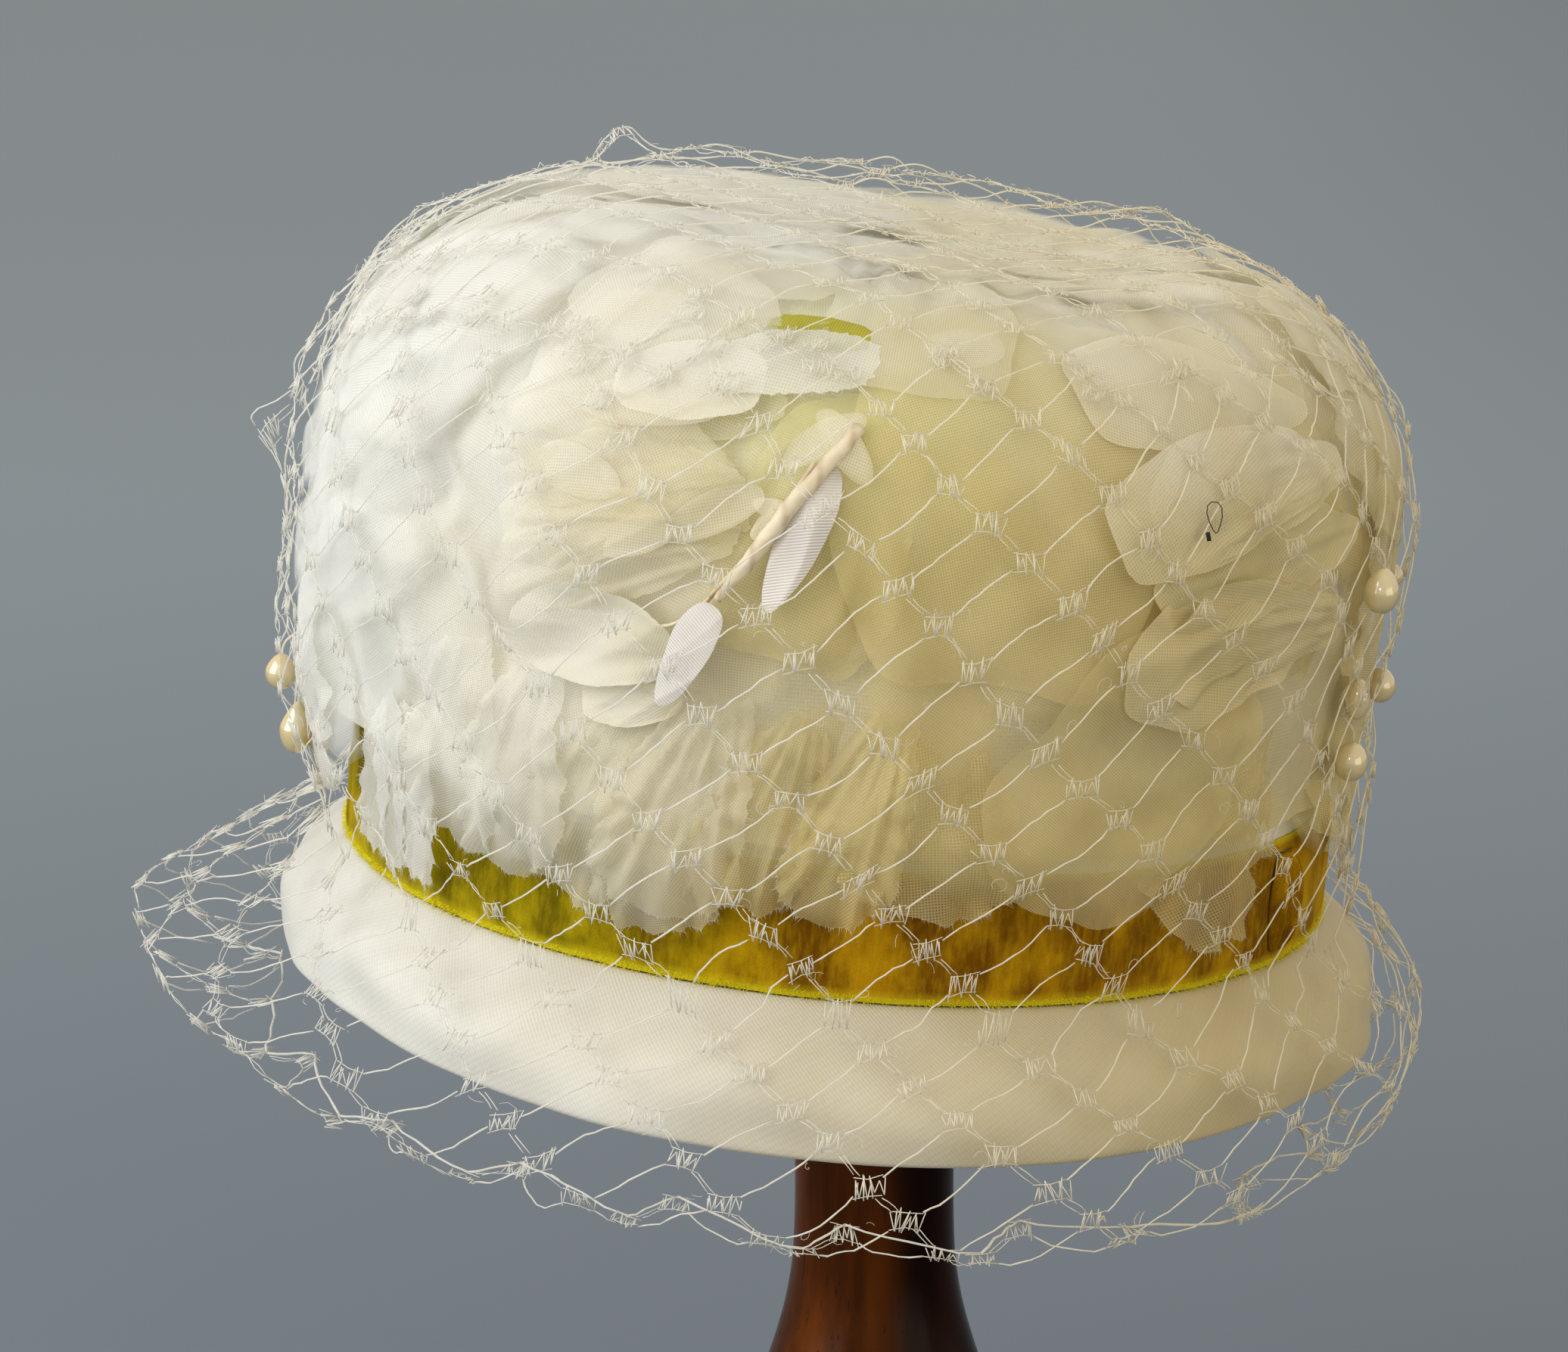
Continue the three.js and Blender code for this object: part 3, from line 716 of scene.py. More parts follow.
def brim():
    """The section goes down the outside, round the fold and up the inside, and is swept round the crown."""
    around = ring_turns(BRIM_TURNS)[None, :]
    rng = np.random.default_rng(11)
    down = np.linspace(0, 1, BRIM_ROWS)[:, None]
    fold = np.linspace(0, math.pi, FOLD_ROWS + 2)[1:-1, None]
    share = np.concatenate([down, np.ones((FOLD_ROWS, 1)), down[::-1]])
    inset = np.concatenate([0 * down, BRIM_WALL * (1 - np.cos(fold)) / 2, 0 * down + BRIM_WALL])
    points = brim_point(around, share, inset)
    points[BRIM_ROWS : BRIM_ROWS + FOLD_ROWS, :, 2] -= np.sin(fold) * BRIM_WALL * 0.5
    arc = np.radians(around) * HALF_DEPTH
    hollows = waves(arc + 14 * share, 30 * share + 0 * arc, 30.0, rng) * 1.1
    hollows += waves(arc + 10 * share, 22 * share + 0 * arc, 12.0, rng) * 0.3
    fade = np.concatenate([smooth_step(down, 0, 0.3), np.ones((FOLD_ROWS, 1)), 0 * down + 0.3])
    bulge = np.concatenate([np.sin(down * math.pi) * 0.6, np.zeros((FOLD_ROWS, 1)), 0 * down])
    away = unit(points * np.array([1.0, 1.0, 0.0]) + np.array([0.0, 0.0, 18.0]))
    points += away * (hollows * fade + bulge)[..., None]
    closing = np.concatenate([points, points[:1]])
    steps = np.linalg.norm(np.diff(closing, axis=0), axis=-1)
    length = np.cumsum(steps, 0) - steps
    uv = np.stack(np.broadcast_arrays(arc + 0 * length, length), -1) * MM
    rows = len(points)
    faces = np.concatenate([grid_faces(rows, BRIM_TURNS, True)[:, ::-1], last_to_first(rows, BRIM_TURNS)])
    marks = {"edge": np.broadcast_to(share, points.shape[:2])}
    return hat_piece("satin_brim", points, [faces], uv, marks)


def last_to_first(rows, columns):
    """Faces that join a grid's last row back to its first, so that its section is a loop."""
    here = np.arange(columns)
    right = (here + 1) % columns
    last = (rows - 1) * columns
    return np.stack([here, right, last + right, last + here], -1)


def satin(name, pale, painted_shade, pitch):
    """A satin face: fine diagonal twill, cloudy colour with painted shade towards the right, and a soft
    gloss.
    """
    finish = Finish(name)
    twill = finish.threads(finish.cloth_place(turn=math.radians(38)), pitch, "X")
    cross = finish.threads(finish.cloth_place(turn=math.radians(-52)), pitch * 1.7, "X")
    clouds = finish.noise(finish.place(), 26.0, 3.0)
    specks = finish.noise(finish.place(), 1.4, 3.0, 0.7)
    across = finish.sideways()
    weave = twill * 0.65 + cross * 0.35
    # Painted shade: the satin goes from pale on the left to a darker, warmer colour on the right, with some
    # cloudiness along the change.
    base = finish.blend(finish.between(across + 60 * (clouds - 0.5), -112.0, 90.0), pale, painted_shade)
    flecks = 0.22 * (1 - weave) + finish.between(specks, 0.5, 0.8) * 0.12
    colour = finish.blend(flecks, base, (0.42, 0.33, 0.18))
    rough = 0.40 + 0.16 * clouds
    normal = finish.bump(weave * 0.7 + specks * 0.3, 0.09, 0.8)
    gloss = {"Specular IOR Level": 0.35, "Sheen Weight": 0.25, "Sheen Roughness": 0.4}
    return finish.show(finish.coat(colour, rough, normal, gloss))


BRIM_SATIN = satin("bias_satin", (0.73, 0.73, 0.695), (0.52, 0.42, 0.21), 0.62)
brim_piece = dress(brim(), BRIM_SATIN, "satin", "brim")
print("brim, mm outside the crown:", BRIM_REACH)

# %% [markdown]
# ## Velvet ribbon
# Velvet is a pile of short upright hairs. It looks dark where the hairs point at the eye and bright along an
# edge, and brushing leaves it streaked and mottled. The ribbon's shape is a thin pillow-edged strip, and
# loose pile stands along its lower selvedge. Its colour goes from a lighter olive on the left front to a
# darker golden brown elsewhere, partly its own colour and partly painted shade.

# %% Ribbon
BAND_HEIGHT = 23.5
BAND_BOTTOM = 0.1
BAND_WALL = 1.3
BAND_TURNS = 300
BAND_ROWS = 20
PILE_HAIRS = 5200
PILE_WIDTH = 0.09


def velvet():
    """Crushed pile: dark and light patches, long streaks, a fleck for each hair, bright selvedges, and
    painted shade on the right.
    """
    finish = Finish("golden_velvet")
    streaks = finish.noise(finish.cloth_place((1, 0.22, 1)), 1.1, 4.0, 0.65)
    crush = finish.noise(finish.cloth_place((1, 0.6, 1)), 13.0, 4.0, 0.6)
    pile = finish.noise(finish.cloth_place(), 0.35, 2.0, 0.7)
    leftness = finish.attribute("leftness")
    edge = finish.attribute("edge")
    # Painted shade: olive and lighter on the left front, golden brown and darker elsewhere; the change of
    # hue is partly the velvet's own colour.
    gold = finish.blend(finish.between(crush, 0.38, 0.66), (0.170, 0.062, 0.001), (0.520, 0.270, 0.003))
    olive = finish.blend(finish.between(crush, 0.38, 0.66), (0.150, 0.118, 0.001), (0.470, 0.375, 0.003))
    base = finish.blend(leftness, gold, olive)
    brushed = finish.blend(finish.between(streaks, 0.4, 0.72) * 0.22, base, (0.80, 0.52, 0.01))
    deep = finish.blend(finish.between(pile, 0.35, 0.7) * 0.2, brushed, (0.09, 0.04, 0.001))
    colour = finish.blend(edge, deep, (0.88, 0.76, 0.02))
    sheen = {"Sheen Weight": 0.25, "Sheen Roughness": 0.4, "Sheen Tint": (0.95, 0.70, 0.06, 1.0)}
    sheen["Specular IOR Level"] = 0.05
    return finish.show(finish.coat(colour, 0.92, finish.bump(streaks + pile, 0.25), sheen))


def band_marks(points, height):
    """How far left a point is, and how near the ribbon's bright selvedges."""
    leftness = smooth_step(-points[..., 0], -5, 55) * smooth_step(-points[..., 1], -30, 40)
    low = 1 - smooth_step(height, 0.7, 1.6)
    high = smooth_step(height, BAND_HEIGHT - 1.0, BAND_HEIGHT)
    return {"leftness": leftness, "edge": np.clip(low + 0.6 * high, 0, 1)}


def velvet_ribbon():
    """Rows go up the outside, over the top and down the inside; the outside swells like a pillow."""
    around = ring_turns(BAND_TURNS)[None, :]
    rng = np.random.default_rng(12)
    rise = np.linspace(0, 1, BAND_ROWS)[:, None]
    height = BAND_BOTTOM + (BAND_HEIGHT - BAND_BOTTOM) * np.concatenate([rise, rise[::-1]])
    pillow = BAND_WALL * (0.35 + 0.95 * np.sin((0.2 + 0.8 * rise) * math.pi) ** 0.35)
    out = np.concatenate([pillow, 0 * rise + PIECE_GAP])
    arc = np.radians(around) * HALF_DEPTH
    crease = waves(arc + 0 * height, 0.6 * height + 0 * arc, 17.0, rng) * 0.2
    crease[BAND_ROWS:] = 0
    points = skirt_spot(around, out + crease, height)
    uv = np.stack(np.broadcast_arrays(arc, height), -1) * MM
    rows = len(points)
    faces = np.concatenate([grid_faces(rows, BAND_TURNS, True), last_to_first(rows, BAND_TURNS)[:, ::-1]])
    marks = band_marks(points, np.broadcast_to(height, points.shape[:2]))
    return hat_piece("velvet_ribbon", points, [faces], uv, marks)


def hair_tufts(name, roots, tips, width, uv=None, marks=None):
    """Each hair is a thin three-sided spike from its root to its tip."""
    along = unit(tips - roots)
    side = unit(np.cross(along, np.array([0.31, 0.77, 0.55])))
    other = np.cross(along, side)
    turn = np.radians([0, 120, 240])[None, :, None]
    base = roots[:, None] + (side[:, None] * np.cos(turn) + other[:, None] * np.sin(turn)) * width
    points = np.concatenate([base, tips[:, None]], 1)
    start = 4 * np.arange(len(roots))[:, None]
    corners = [[0, 1, 3], [1, 2, 3], [2, 0, 3], [0, 2, 1]]
    faces = [start + np.array([corner]) for corner in corners]
    spread = {mark: np.repeat(values, 4) for mark, values in (marks or {}).items()}
    cloth = None if uv is None else np.repeat(uv, 4, 0)
    return hat_piece(name, points.reshape(-1, 3), faces, cloth, spread)


def selvedge_pile():
    """Short hairs that lean out and down from the ribbon's lower edge."""
    rng = np.random.default_rng(13)
    around = rng.uniform(0, 360, PILE_HAIRS)
    height = BAND_BOTTOM + rng.uniform(-0.1, 1.3, PILE_HAIRS)
    roots = skirt_spot(around, rng.uniform(0.8, 1.4, PILE_HAIRS), height)
    sway = around + rng.normal(0, 0.25, PILE_HAIRS)
    lean = skirt_spot(sway, 2.1 + rng.uniform(0, 0.6, PILE_HAIRS), height)
    tips = lean - np.array([0, 0, 1.0]) * rng.uniform(0.0, 0.8, PILE_HAIRS)[:, None]
    marks = band_marks(roots, height * 0)
    uv = np.stack([np.radians(around) * HALF_DEPTH, height], -1) * MM
    return hair_tufts("ribbon_pile", roots, tips, PILE_WIDTH, uv, marks)


VELVET = velvet()
ribbon = dress(velvet_ribbon(), VELVET, "velvet", "velvet_band")
pile = dress(selvedge_pile(), VELVET, "velvet")
print("ribbon height, mm:", BAND_HEIGHT)

# %% [markdown]
# ## Velvet fold where the ribbon is joined
# The ribbon's two ends are overlapped and folded back into a small standing knot. It is a ribbon again,
# pleated three times: the section zigzags outwards, and each row up the fold is a little wider or narrower.

# %% Ribbon's knot
KNOT_AROUND = 59.0
KNOT_FLOOR = 2.1
KNOT_ROWS = 28
KNOT_COLUMNS = 44
KNOT_PROFILE = [(3, 3, 1.2), (6, 4.2, 3), (12, 5, 4), (18, 4.4, 3.2), (21.5, 3, 1.2)]


def ribbon_knot():
    """Across the fold the depth is a half circle times a pleat wave; up the fold it follows the profile."""
    base = crown_spot(KNOT_AROUND, 0.0)
    out = outward(base)
    along = np.cross(np.array([0, 0, 1.0]), out)
    profile = rounded(KNOT_PROFILE, 7)
    profile = profile[np.linspace(0, len(profile) - 1, KNOT_ROWS).round().astype(int)]
    across = np.linspace(-1, 1, KNOT_COLUMNS)[None, :]
    pleats = 0.72 + 0.28 * np.cos(across * 2.5 * math.pi + 0.25 * np.sin(profile[:, :1] * 0.4))
    depth = profile[:, 2:3] * np.sqrt(np.clip(1 - across**2, 0, 1)) * pleats
    front = base + (across * profile[:, 1:2])[..., None] * along + (KNOT_FLOOR + depth)[..., None] * out
    front[..., 2] = profile[:, :1]
    back = base + (across * profile[:, 1:2])[..., None] * along + (KNOT_FLOOR - 0.35) * out
    back[..., 2] = profile[:, :1]
    points = np.concatenate([front, back[:, ::-1]], 1)
    columns = 2 * KNOT_COLUMNS
    uv = np.stack(np.broadcast_arrays(np.arange(columns)[None, :] * 0.3, profile[:, :1]), -1) * MM
    marks = {"leftness": np.zeros(points.shape[:2]), "edge": np.zeros(points.shape[:2])}
    faces = [grid_faces(KNOT_ROWS, columns, True), *end_faces(KNOT_ROWS, columns)]
    return hat_piece("velvet_knot", points, faces, uv, marks)


dress(ribbon_knot(), VELVET, "velvet", "band_knot")
print("knot, degrees to the right of the front:", KNOT_AROUND)

# %% [markdown]
# ## Silk petals
# Each petal is cut from thin silk with a hot tool, which cups it and leaves soft folds that run out from
# its root. On the hat they overlap like feathers. A petal here is a disc of points whose outline is an egg;
# the disc is laid on the crown at its layer's height, and then folds, a lifted tip, ripples along the rim
# and a fine crumple are added to the height. The table gives each petal its root, tip, width and layer, and
# the kind of cloth and cut.

# %% Petal table
# CAD petal: root around, root lift, tip around, tip lift, width, layer, cut, tint (0 white, 1 tan, partly
# painted shade towards the right), rows, where each row is (start, end, how many side by side) along the CAD
# petal's length
ONE = [(0.0, 1.0, 1)]
PAIR = [(0.0, 1.0, 2)]
SPLIT = [(0.0, 0.86, 1), (0.1, 1.0, 1)]
SCALES = [(0.36, 1.04, 3), (0.12, 0.86, 2), (-0.06, 0.6, 3)]
SMALL_SCALES = [(0.3, 1.0, 3), (0.0, 0.66, 2)]
STRIPS = [(0.0, 1.0, 4)]
RIGHT_SCALES = [(0.2, 1.0, 2), (-0.5, 0.4, 2), (-1.1, -0.3, 2), (-1.7, -0.9, 2)]
PETALS = {
    "disc_right": (17, 60, 11.5, 24.5, 58, 1, "disc", 0.90, ONE),
    "flap_right": (8, 63, 1, 45, 30, 2, "flap", 0.40, ONE),
    "upper_right": (57, 44.5, 20.8, 46.2, 19, 2, "spoon", 0.50, ONE),
    "spoon_right": (60, 40.8, 22.5, 37.0, 19, 3, "spoon", 0.25, SPLIT),
    "middle_right": (62, 36.5, 28, 33, 17, 2, "spoon", 0.30, ONE),
    "lower_right": (58, 31, 25.5, 28.3, 22, 2, "spoon", 0.25, SPLIT),
    "skirt_right": (42, 30, 15, 11, 44, 2, "disc", 0.50, ONE),
    "hem_right": (50, 22, 38, 6, 32, 0, "frayed", 0.75, ONE),
    "hem_green": (9, 24, 7, 8.5, 30, 0, "frayed", 0.90, ONE),
    "ruffle_right": (3, 26, -3, 8, 18, 1, "ruffle", 0.80, ONE),
    "ruffle_middle": (-6, 25, -12, 8, 19, 0, "ruffle", 0.65, ONE),
    "ruffle_left": (-14, 26, -20, 7, 24, 1, "ruffle", 0.25, ONE),
    "centre_fold": (-3, 46, -9, 28, 30, 0, "broad", 0.75, ONE),
    "white_inner": (-24, 24, -28, 5.5, 34, 0, "frayed", 0.25, PAIR),
    "white_outer": (-38, 26, -41, 8, 32, 1, "frayed", 0.0, PAIR),
    "drooping": (-52, 19, -53.5, 2.5, 28, 0, "torn", 0.05, STRIPS),
    "low_left": (-78, 24, -82, 7, 36, 0, "frayed", 0.0, PAIR),
    "satin_upper": (-19, 28.6, -35.2, 27.8, 15.5, 3, "satin", 0.16, ONE),
    "satin_lower": (-18, 25.0, -28.3, 24.0, 10, 1, "satin", 0.24, ONE),
    "fan_low": (-14, 37.5, -38, 34, 26, 2, "round", 0.35, PAIR),
    "fan_middle": (-12, 41.5, -42, 42, 32, 1, "round", 0.35, PAIR),
    "fan_high": (-12, 52, -44, 55, 38, 2, "broad", 0.35, PAIR),
    "bud": (-14.5, 45.2, -30.5, 43.6, 12, 3, "bud", 0.30, ONE),
    "strip": (-2, 47.8, -20.5, 45.8, 11.5, 3, "torn", 0.05, ONE),
    "side_high_left": (-46, 47, -77, 38, 44, 0, "small", 0.0, SCALES),
    "side_low_left": (-48, 33, -80, 25, 36, 1, "small", 0.0, SMALL_SCALES),
    "side_low_right": (78, 30, 77, 8, 50, 1, "frayed", 0.4, RIGHT_SCALES),
    "top_front_left": (-40, 86, -36, 57, 60, 0, "small", 0.05, SCALES),
    "top_front_right": (40, 86, 42, 57, 60, 1, "small", 0.50, SCALES),
    "top_back_right": (130, 86, 130, 57, 62, 0, "small", 0.50, SCALES),
    "top_back_left": (-130, 86, -130, 57, 62, 1, "small", 0.2, SCALES),
    "back_high_right": (105, 55, 105, 32, 58, 0, "small", 0.6, SCALES),
    "back_high_middle": (180, 55, 180, 32, 66, 0, "small", 0.4, SCALES),
    "back_high_left": (-118, 55, -120, 32, 58, 0, "small", 0.2, SCALES),
    "back_low_right": (114, 37, 114, 8, 62, 1, "frayed", 0.6, SCALES),
    "back_low_middle": (174, 37, 174, 8, 78, 1, "frayed", 0.4, SCALES),
    "back_low_left": (-118, 37, -120, 8, 76, 1, "frayed", 0.2, SCALES),
}
print("CAD petals in the table:", len(PETALS))

# %% [markdown]
# ## How a petal is cut and folded
# Each kind of cut has its own outline and its own way of folding: a frayed petal is pleated and ragged, a
# spoon is long, cupped and smooth. The same few formulas draw them all. The outline's half-width is a power
# of a sine, and the folds are ridges that fan out from the root. What the veil presses on is kept under it.

# %% Cuts and folds
# The outline's boxiness and how narrow its root is, the tip's lift, how cupped it is, how many folds and
# how deep, how many ripples along the rim and how deep, and how ragged the rim is.
Cut = namedtuple("Cut", "boxiness narrow tip cup folds fold_depth ripples ripple_depth ragged")
CUT_SIZES = {
    "broad": (0.80, 0.20, 0.8, 0.4, 9, 1.2, 11, 1.1, 0.020),
    "disc": (0.62, 0.04, 0.6, 0.5, 5, 0.6, 8, 0.8, 0.004),
    "round": (0.72, 0.45, 1.2, 0.6, 11, 1.6, 13, 1.5, 0.024),
    "spoon": (0.66, 0.42, 0.8, 1.3, 6, 1.7, 6, 0.6, 0.008),
    "flap": (0.62, 0.15, 1.0, 0.5, 5, 0.8, 6, 1.0, 0.012),
    "frayed": (0.66, 0.30, 1.2, 0.3, 9, 1.4, 14, 1.2, 0.045),
    "ruffle": (0.62, 0.35, 1.6, 0.2, 12, 2.0, 16, 1.4, 0.045),
    "satin": (0.80, 0.10, 0.9, 1.6, 4, 1.1, 5, 0.4, 0.014),
    "bud": (0.62, -0.10, 0.8, 1.6, 5, 1.6, 5, 0.5, 0.010),
    "torn": (0.50, 0.00, 0.9, 0.7, 8, 0.9, 15, 0.8, 0.060),
    "small": (0.74, 0.25, 1.2, 0.6, 6, 0.9, 7, 1.2, 0.014),
    "fill": (0.74, 0.35, 0.8, 0.3, 6, 0.5, 7, 0.6, 0.012),
    "curl": (0.95, 0.00, 0.3, 2.6, 3, 0.8, 4, 0.5, 0.010),
    "leaf": (0.90, -0.25, 0.4, -0.6, 2, 0.12, 4, 0.2, 0.004),
}
CUTS = {name: Cut(*sizes) for name, sizes in CUT_SIZES.items()}
DEEP_REACH = 38.0
VEIL_MARGIN = 1.1
HOLD_SOFTNESS = 0.7
TOP_CALM = 0.8
PETAL_RINGS = 16
PETAL_TURNS = 88
LOBES = (2, 4, 7)
LOBE_DEPTH = 0.035
LOBE_WIDTH = 24.0
FULL_WIDTH = 20.0
CRUMPLE = ((15.0, 0.6), (6.0, 0.22))
ROOT_SINK = 1.2


def egg_outline(turn, width, length, boxiness, narrow):
    """Half-width is a power of the sine, fuller towards the tip; length runs as one minus the cosine."""
    side = np.sign(np.sin(turn)) * np.abs(np.sin(turn)) ** boxiness * (1 - narrow * np.cos(turn))
    return side / np.abs(side).max() * width / 2, (1 - np.cos(turn)) / 2 * length


def surface_area(points, faces):
    """The sum of all faces' areas, with each four-sided face cut in two."""
    total = 0.0
    for corners in faces:
        for last in range(2, corners.shape[1]):
            first, one, other = points[corners[:, 0]], points[corners[:, last - 1]], points[corners[:, last]]
            total += np.linalg.norm(np.cross(one - first, other - first), axis=1).sum() / 2
    return total


def painted_silk_shade(spots):
    """Painted shade: tan grows from the left to the right and low in front near the ribbon, with less of it
    high up, where the silk is painted lighter.
    """
    low = (1 - smooth_step(spots[..., 2], 12, 50)) * smooth_step(spots[..., 0], -40, 15)
    high = 1 - 0.8 * smooth_step(spots[..., 2], 72, 112)
    aged = 0.56 * smooth_step(spots[..., 0], -110, 20) + 0.06 * smooth_step(spots[..., 0], 0, 60)
    return aged * high + 0.26 * low


def depth_of(spots):
    """1 in the flower's deep middle and 0 far from it; it places the painted shade in the flower's depth."""
    return np.exp(-((np.linalg.norm(spots - DEEP_SPOT, axis=-1) / DEEP_REACH) ** 2))


def held(spots, height):
    """The veil keeps petals down: below its height they are free, and near it they flatten out softly."""
    room = puff(spots) + veil_clearance(spots) - VEIL_MARGIN
    return room - HOLD_SOFTNESS * np.log1p(np.exp((room - height) / HOLD_SOFTNESS))


def petal_disc(cut, width, length, rings, turns, rng):
    """Places across and along the cloth: rings out to an egg with random lobes and a ragged rim."""
    turn = np.linspace(0, 2 * math.pi, turns, endpoint=False)[None, :]
    rim_x, rim_y = egg_outline(turn, width, length, cut.boxiness, cut.narrow)
    lobed = LOBE_DEPTH * min(1.0, width / LOBE_WIDTH)
    wobble = 1 + sum(lobed * np.sin(lobes * turn + rng.uniform(0, 6)) for lobes in LOBES)
    wobble = wobble + cut.ragged * rng.uniform(-1, 0.6, turns)[None, :]
    r = (np.arange(1, rings + 1)[:, None] / rings) ** 0.8
    middle = length * 0.52
    x = np.concatenate([[0.0], (rim_x * wobble * r).ravel()])
    y = np.concatenate([[middle], (middle + (rim_y - middle) * wobble * r).ravel()])
    r = np.concatenate([[0.0], np.broadcast_to(r, (rings, turns)).ravel()])
    return x, y, r, np.concatenate([[0.0], np.broadcast_to(turn, (rings, turns)).ravel()])


def petal_folds(cut, x, y, r, turn, width, length, rng):
    """Height over the layer: ridges that fan from the root, rim ripples, crumples, a lifted tip, a cup."""
    share = np.clip(y / length, 0, 1)
    spread = np.arctan2(x, y + 0.25 * length) * min(max(length / width, 0.8), 2.8)
    crease = ridges(cut.folds * 1.1 * spread + rng.uniform(0, 6))
    crease = crease + 0.5 * ridges(cut.folds * 1.9 * spread + rng.uniform(0, 6))
    fullness = min(1.0, width / FULL_WIDTH)
    height = crease * cut.fold_depth * fullness * (0.25 + 0.75 * share) * smooth_step(r, 0.05, 0.5)
    ripple = np.sin(cut.ripples * turn + rng.uniform(0, 6)) * cut.ripple_depth
    height += ripple * r**4 * smooth_step(share, 0.1, 0.5) * fullness
    height += sum(waves(x, y, size, rng) * depth for size, depth in CRUMPLE) * fullness
    height += cut.tip * smooth_step(share, 0.5, 1.0) ** 1.5 + cut.cup * (np.abs(x) / (width / 2)) ** 3 * 0.8
    return height - ROOT_SINK * smooth_step(0.25 - share, 0, 0.25)


def petal_parts(root, end, width, level, cut, tint, seed, rings=PETAL_RINGS, turns=PETAL_TURNS, sink=1.0):
    """One petal from root to end: its points, faces, cloth coordinates and marks, and its flat area."""
    rng = np.random.default_rng(seed)
    centre = onto_crown((root + end) / 2)
    out = outward(centre)
    along = unit(end - root - out * ((end - root) @ out))
    across = np.cross(out, along)
    length = float(np.linalg.norm(end - root))
    x, y, r, turn = petal_disc(CUTS[cut], width, length, rings, turns, rng)
    height = petal_folds(CUTS[cut], x, y, r, turn, width, length, rng)
    spots = onto_crown(centre + along * (y - length / 2)[:, None] + across * x[:, None])
    height *= 1 - TOP_CALM * smooth_step(spots[:, 2], 84, 106)
    laid = (puff(spots) + relief(spots)) * sink + level
    faces = disc_faces(rings, turns)
    area = surface_area(spots + outward(spots) * laid[:, None], faces)
    points = spots + outward(spots) * held(spots, laid + height)[:, None]
    bias = rng.uniform(0, math.pi)
    uv = np.stack([x * math.cos(bias) - y * math.sin(bias), x * math.sin(bias) + y * math.cos(bias)], -1)
    # Painted shade in the flower's depth, coloured yellow-green: strongest near its deep middle, towards the
    # roots and on the lower layers.
    buried = np.clip(0.85 - (level - PETAL_MIDDLE) / (3 * LAYER_PITCH) * 0.7, 0.12, 1)
    deep = depth_of(spots) * (1 - 0.4 * np.clip(y / length, 0, 1)) * buried
    marks = {"rim": r, "tint": tint * 0.5 + painted_silk_shade(spots), "deep": deep}
    return (points, faces, uv * MM, marks), area


def petal_rows(root, end, width, level, cut, tint, seed, rows):
    """The petals that stand in one CAD petal's place: rows from its tip back, each a little higher."""
    rng = np.random.default_rng(seed)
    out = outward(onto_crown((root + end) / 2))
    run = end - root
    across = np.cross(out, unit(run - out * (run @ out)))
    parts, area = [], 0.0
    for number, (start, stop, count) in enumerate(rows):
        each = width * (1.0 if count == 1 else 1.25 / count**0.9)
        offsets = (np.arange(count) - (count - 1) / 2) * (width - each) / max(count - 1, 1)
        for place, offset in enumerate(offsets):
            sway = rng.normal(0, 0.09, 2) * width * (count > 1)
            first = onto_crown(root + run * start + across * (offset * 0.75 + sway[0]))
            last = onto_crown(root + run * stop + across * (offset * 1.1 + sway[1]))
            lift = number * 0.9 + (place % 2) * 0.45
            size = each * rng.uniform(0.92, 1.08)
            part, cut_area = petal_parts(first, last, size, level + lift, cut, tint, rng.integers(1 << 30))
            parts.append(part)
            area += cut_area
    return parts, area


print("kinds of cut:", ", ".join(CUTS))

# %% [markdown]
# ## Sheer silk
# Organza and silk lawn are open grids of fine threads. Where two layers lie together the cloth looks whiter,
# and where it is single the eye sees through between the threads. The shader builds the two sets of threads
# from the cloth's own map, lets light pass behind and through, and colours the cloth from near white to tan,
# with a yellow-green cast in the depth of the flower. The tan is partly the petals' own colour and partly
# painted shade towards the right and low in front, with less tan high up where the silk is painted lighter.
# The yellow-green is painted shade in the flower's depth.

# %% Silk finishes
# The tan colours are partly the silk's own and partly painted shade; the green ones are painted shade in the
# flower's depth.
WHITE_SILK, TAN_SILK, GREEN_SILK = (0.98, 0.982, 0.96), (0.83, 0.72, 0.38), (0.92, 0.895, 0.44)
WHITE_GAP, TAN_GAP, GREEN_GAP = (0.91, 0.905, 0.83), (0.57, 0.45, 0.13), (0.66, 0.625, 0.10)
BACK_LIGHT = 0.4
CREPE_COVER = 0.5
CLOSED = 0.8
WEAVE_BUMP = 0.06


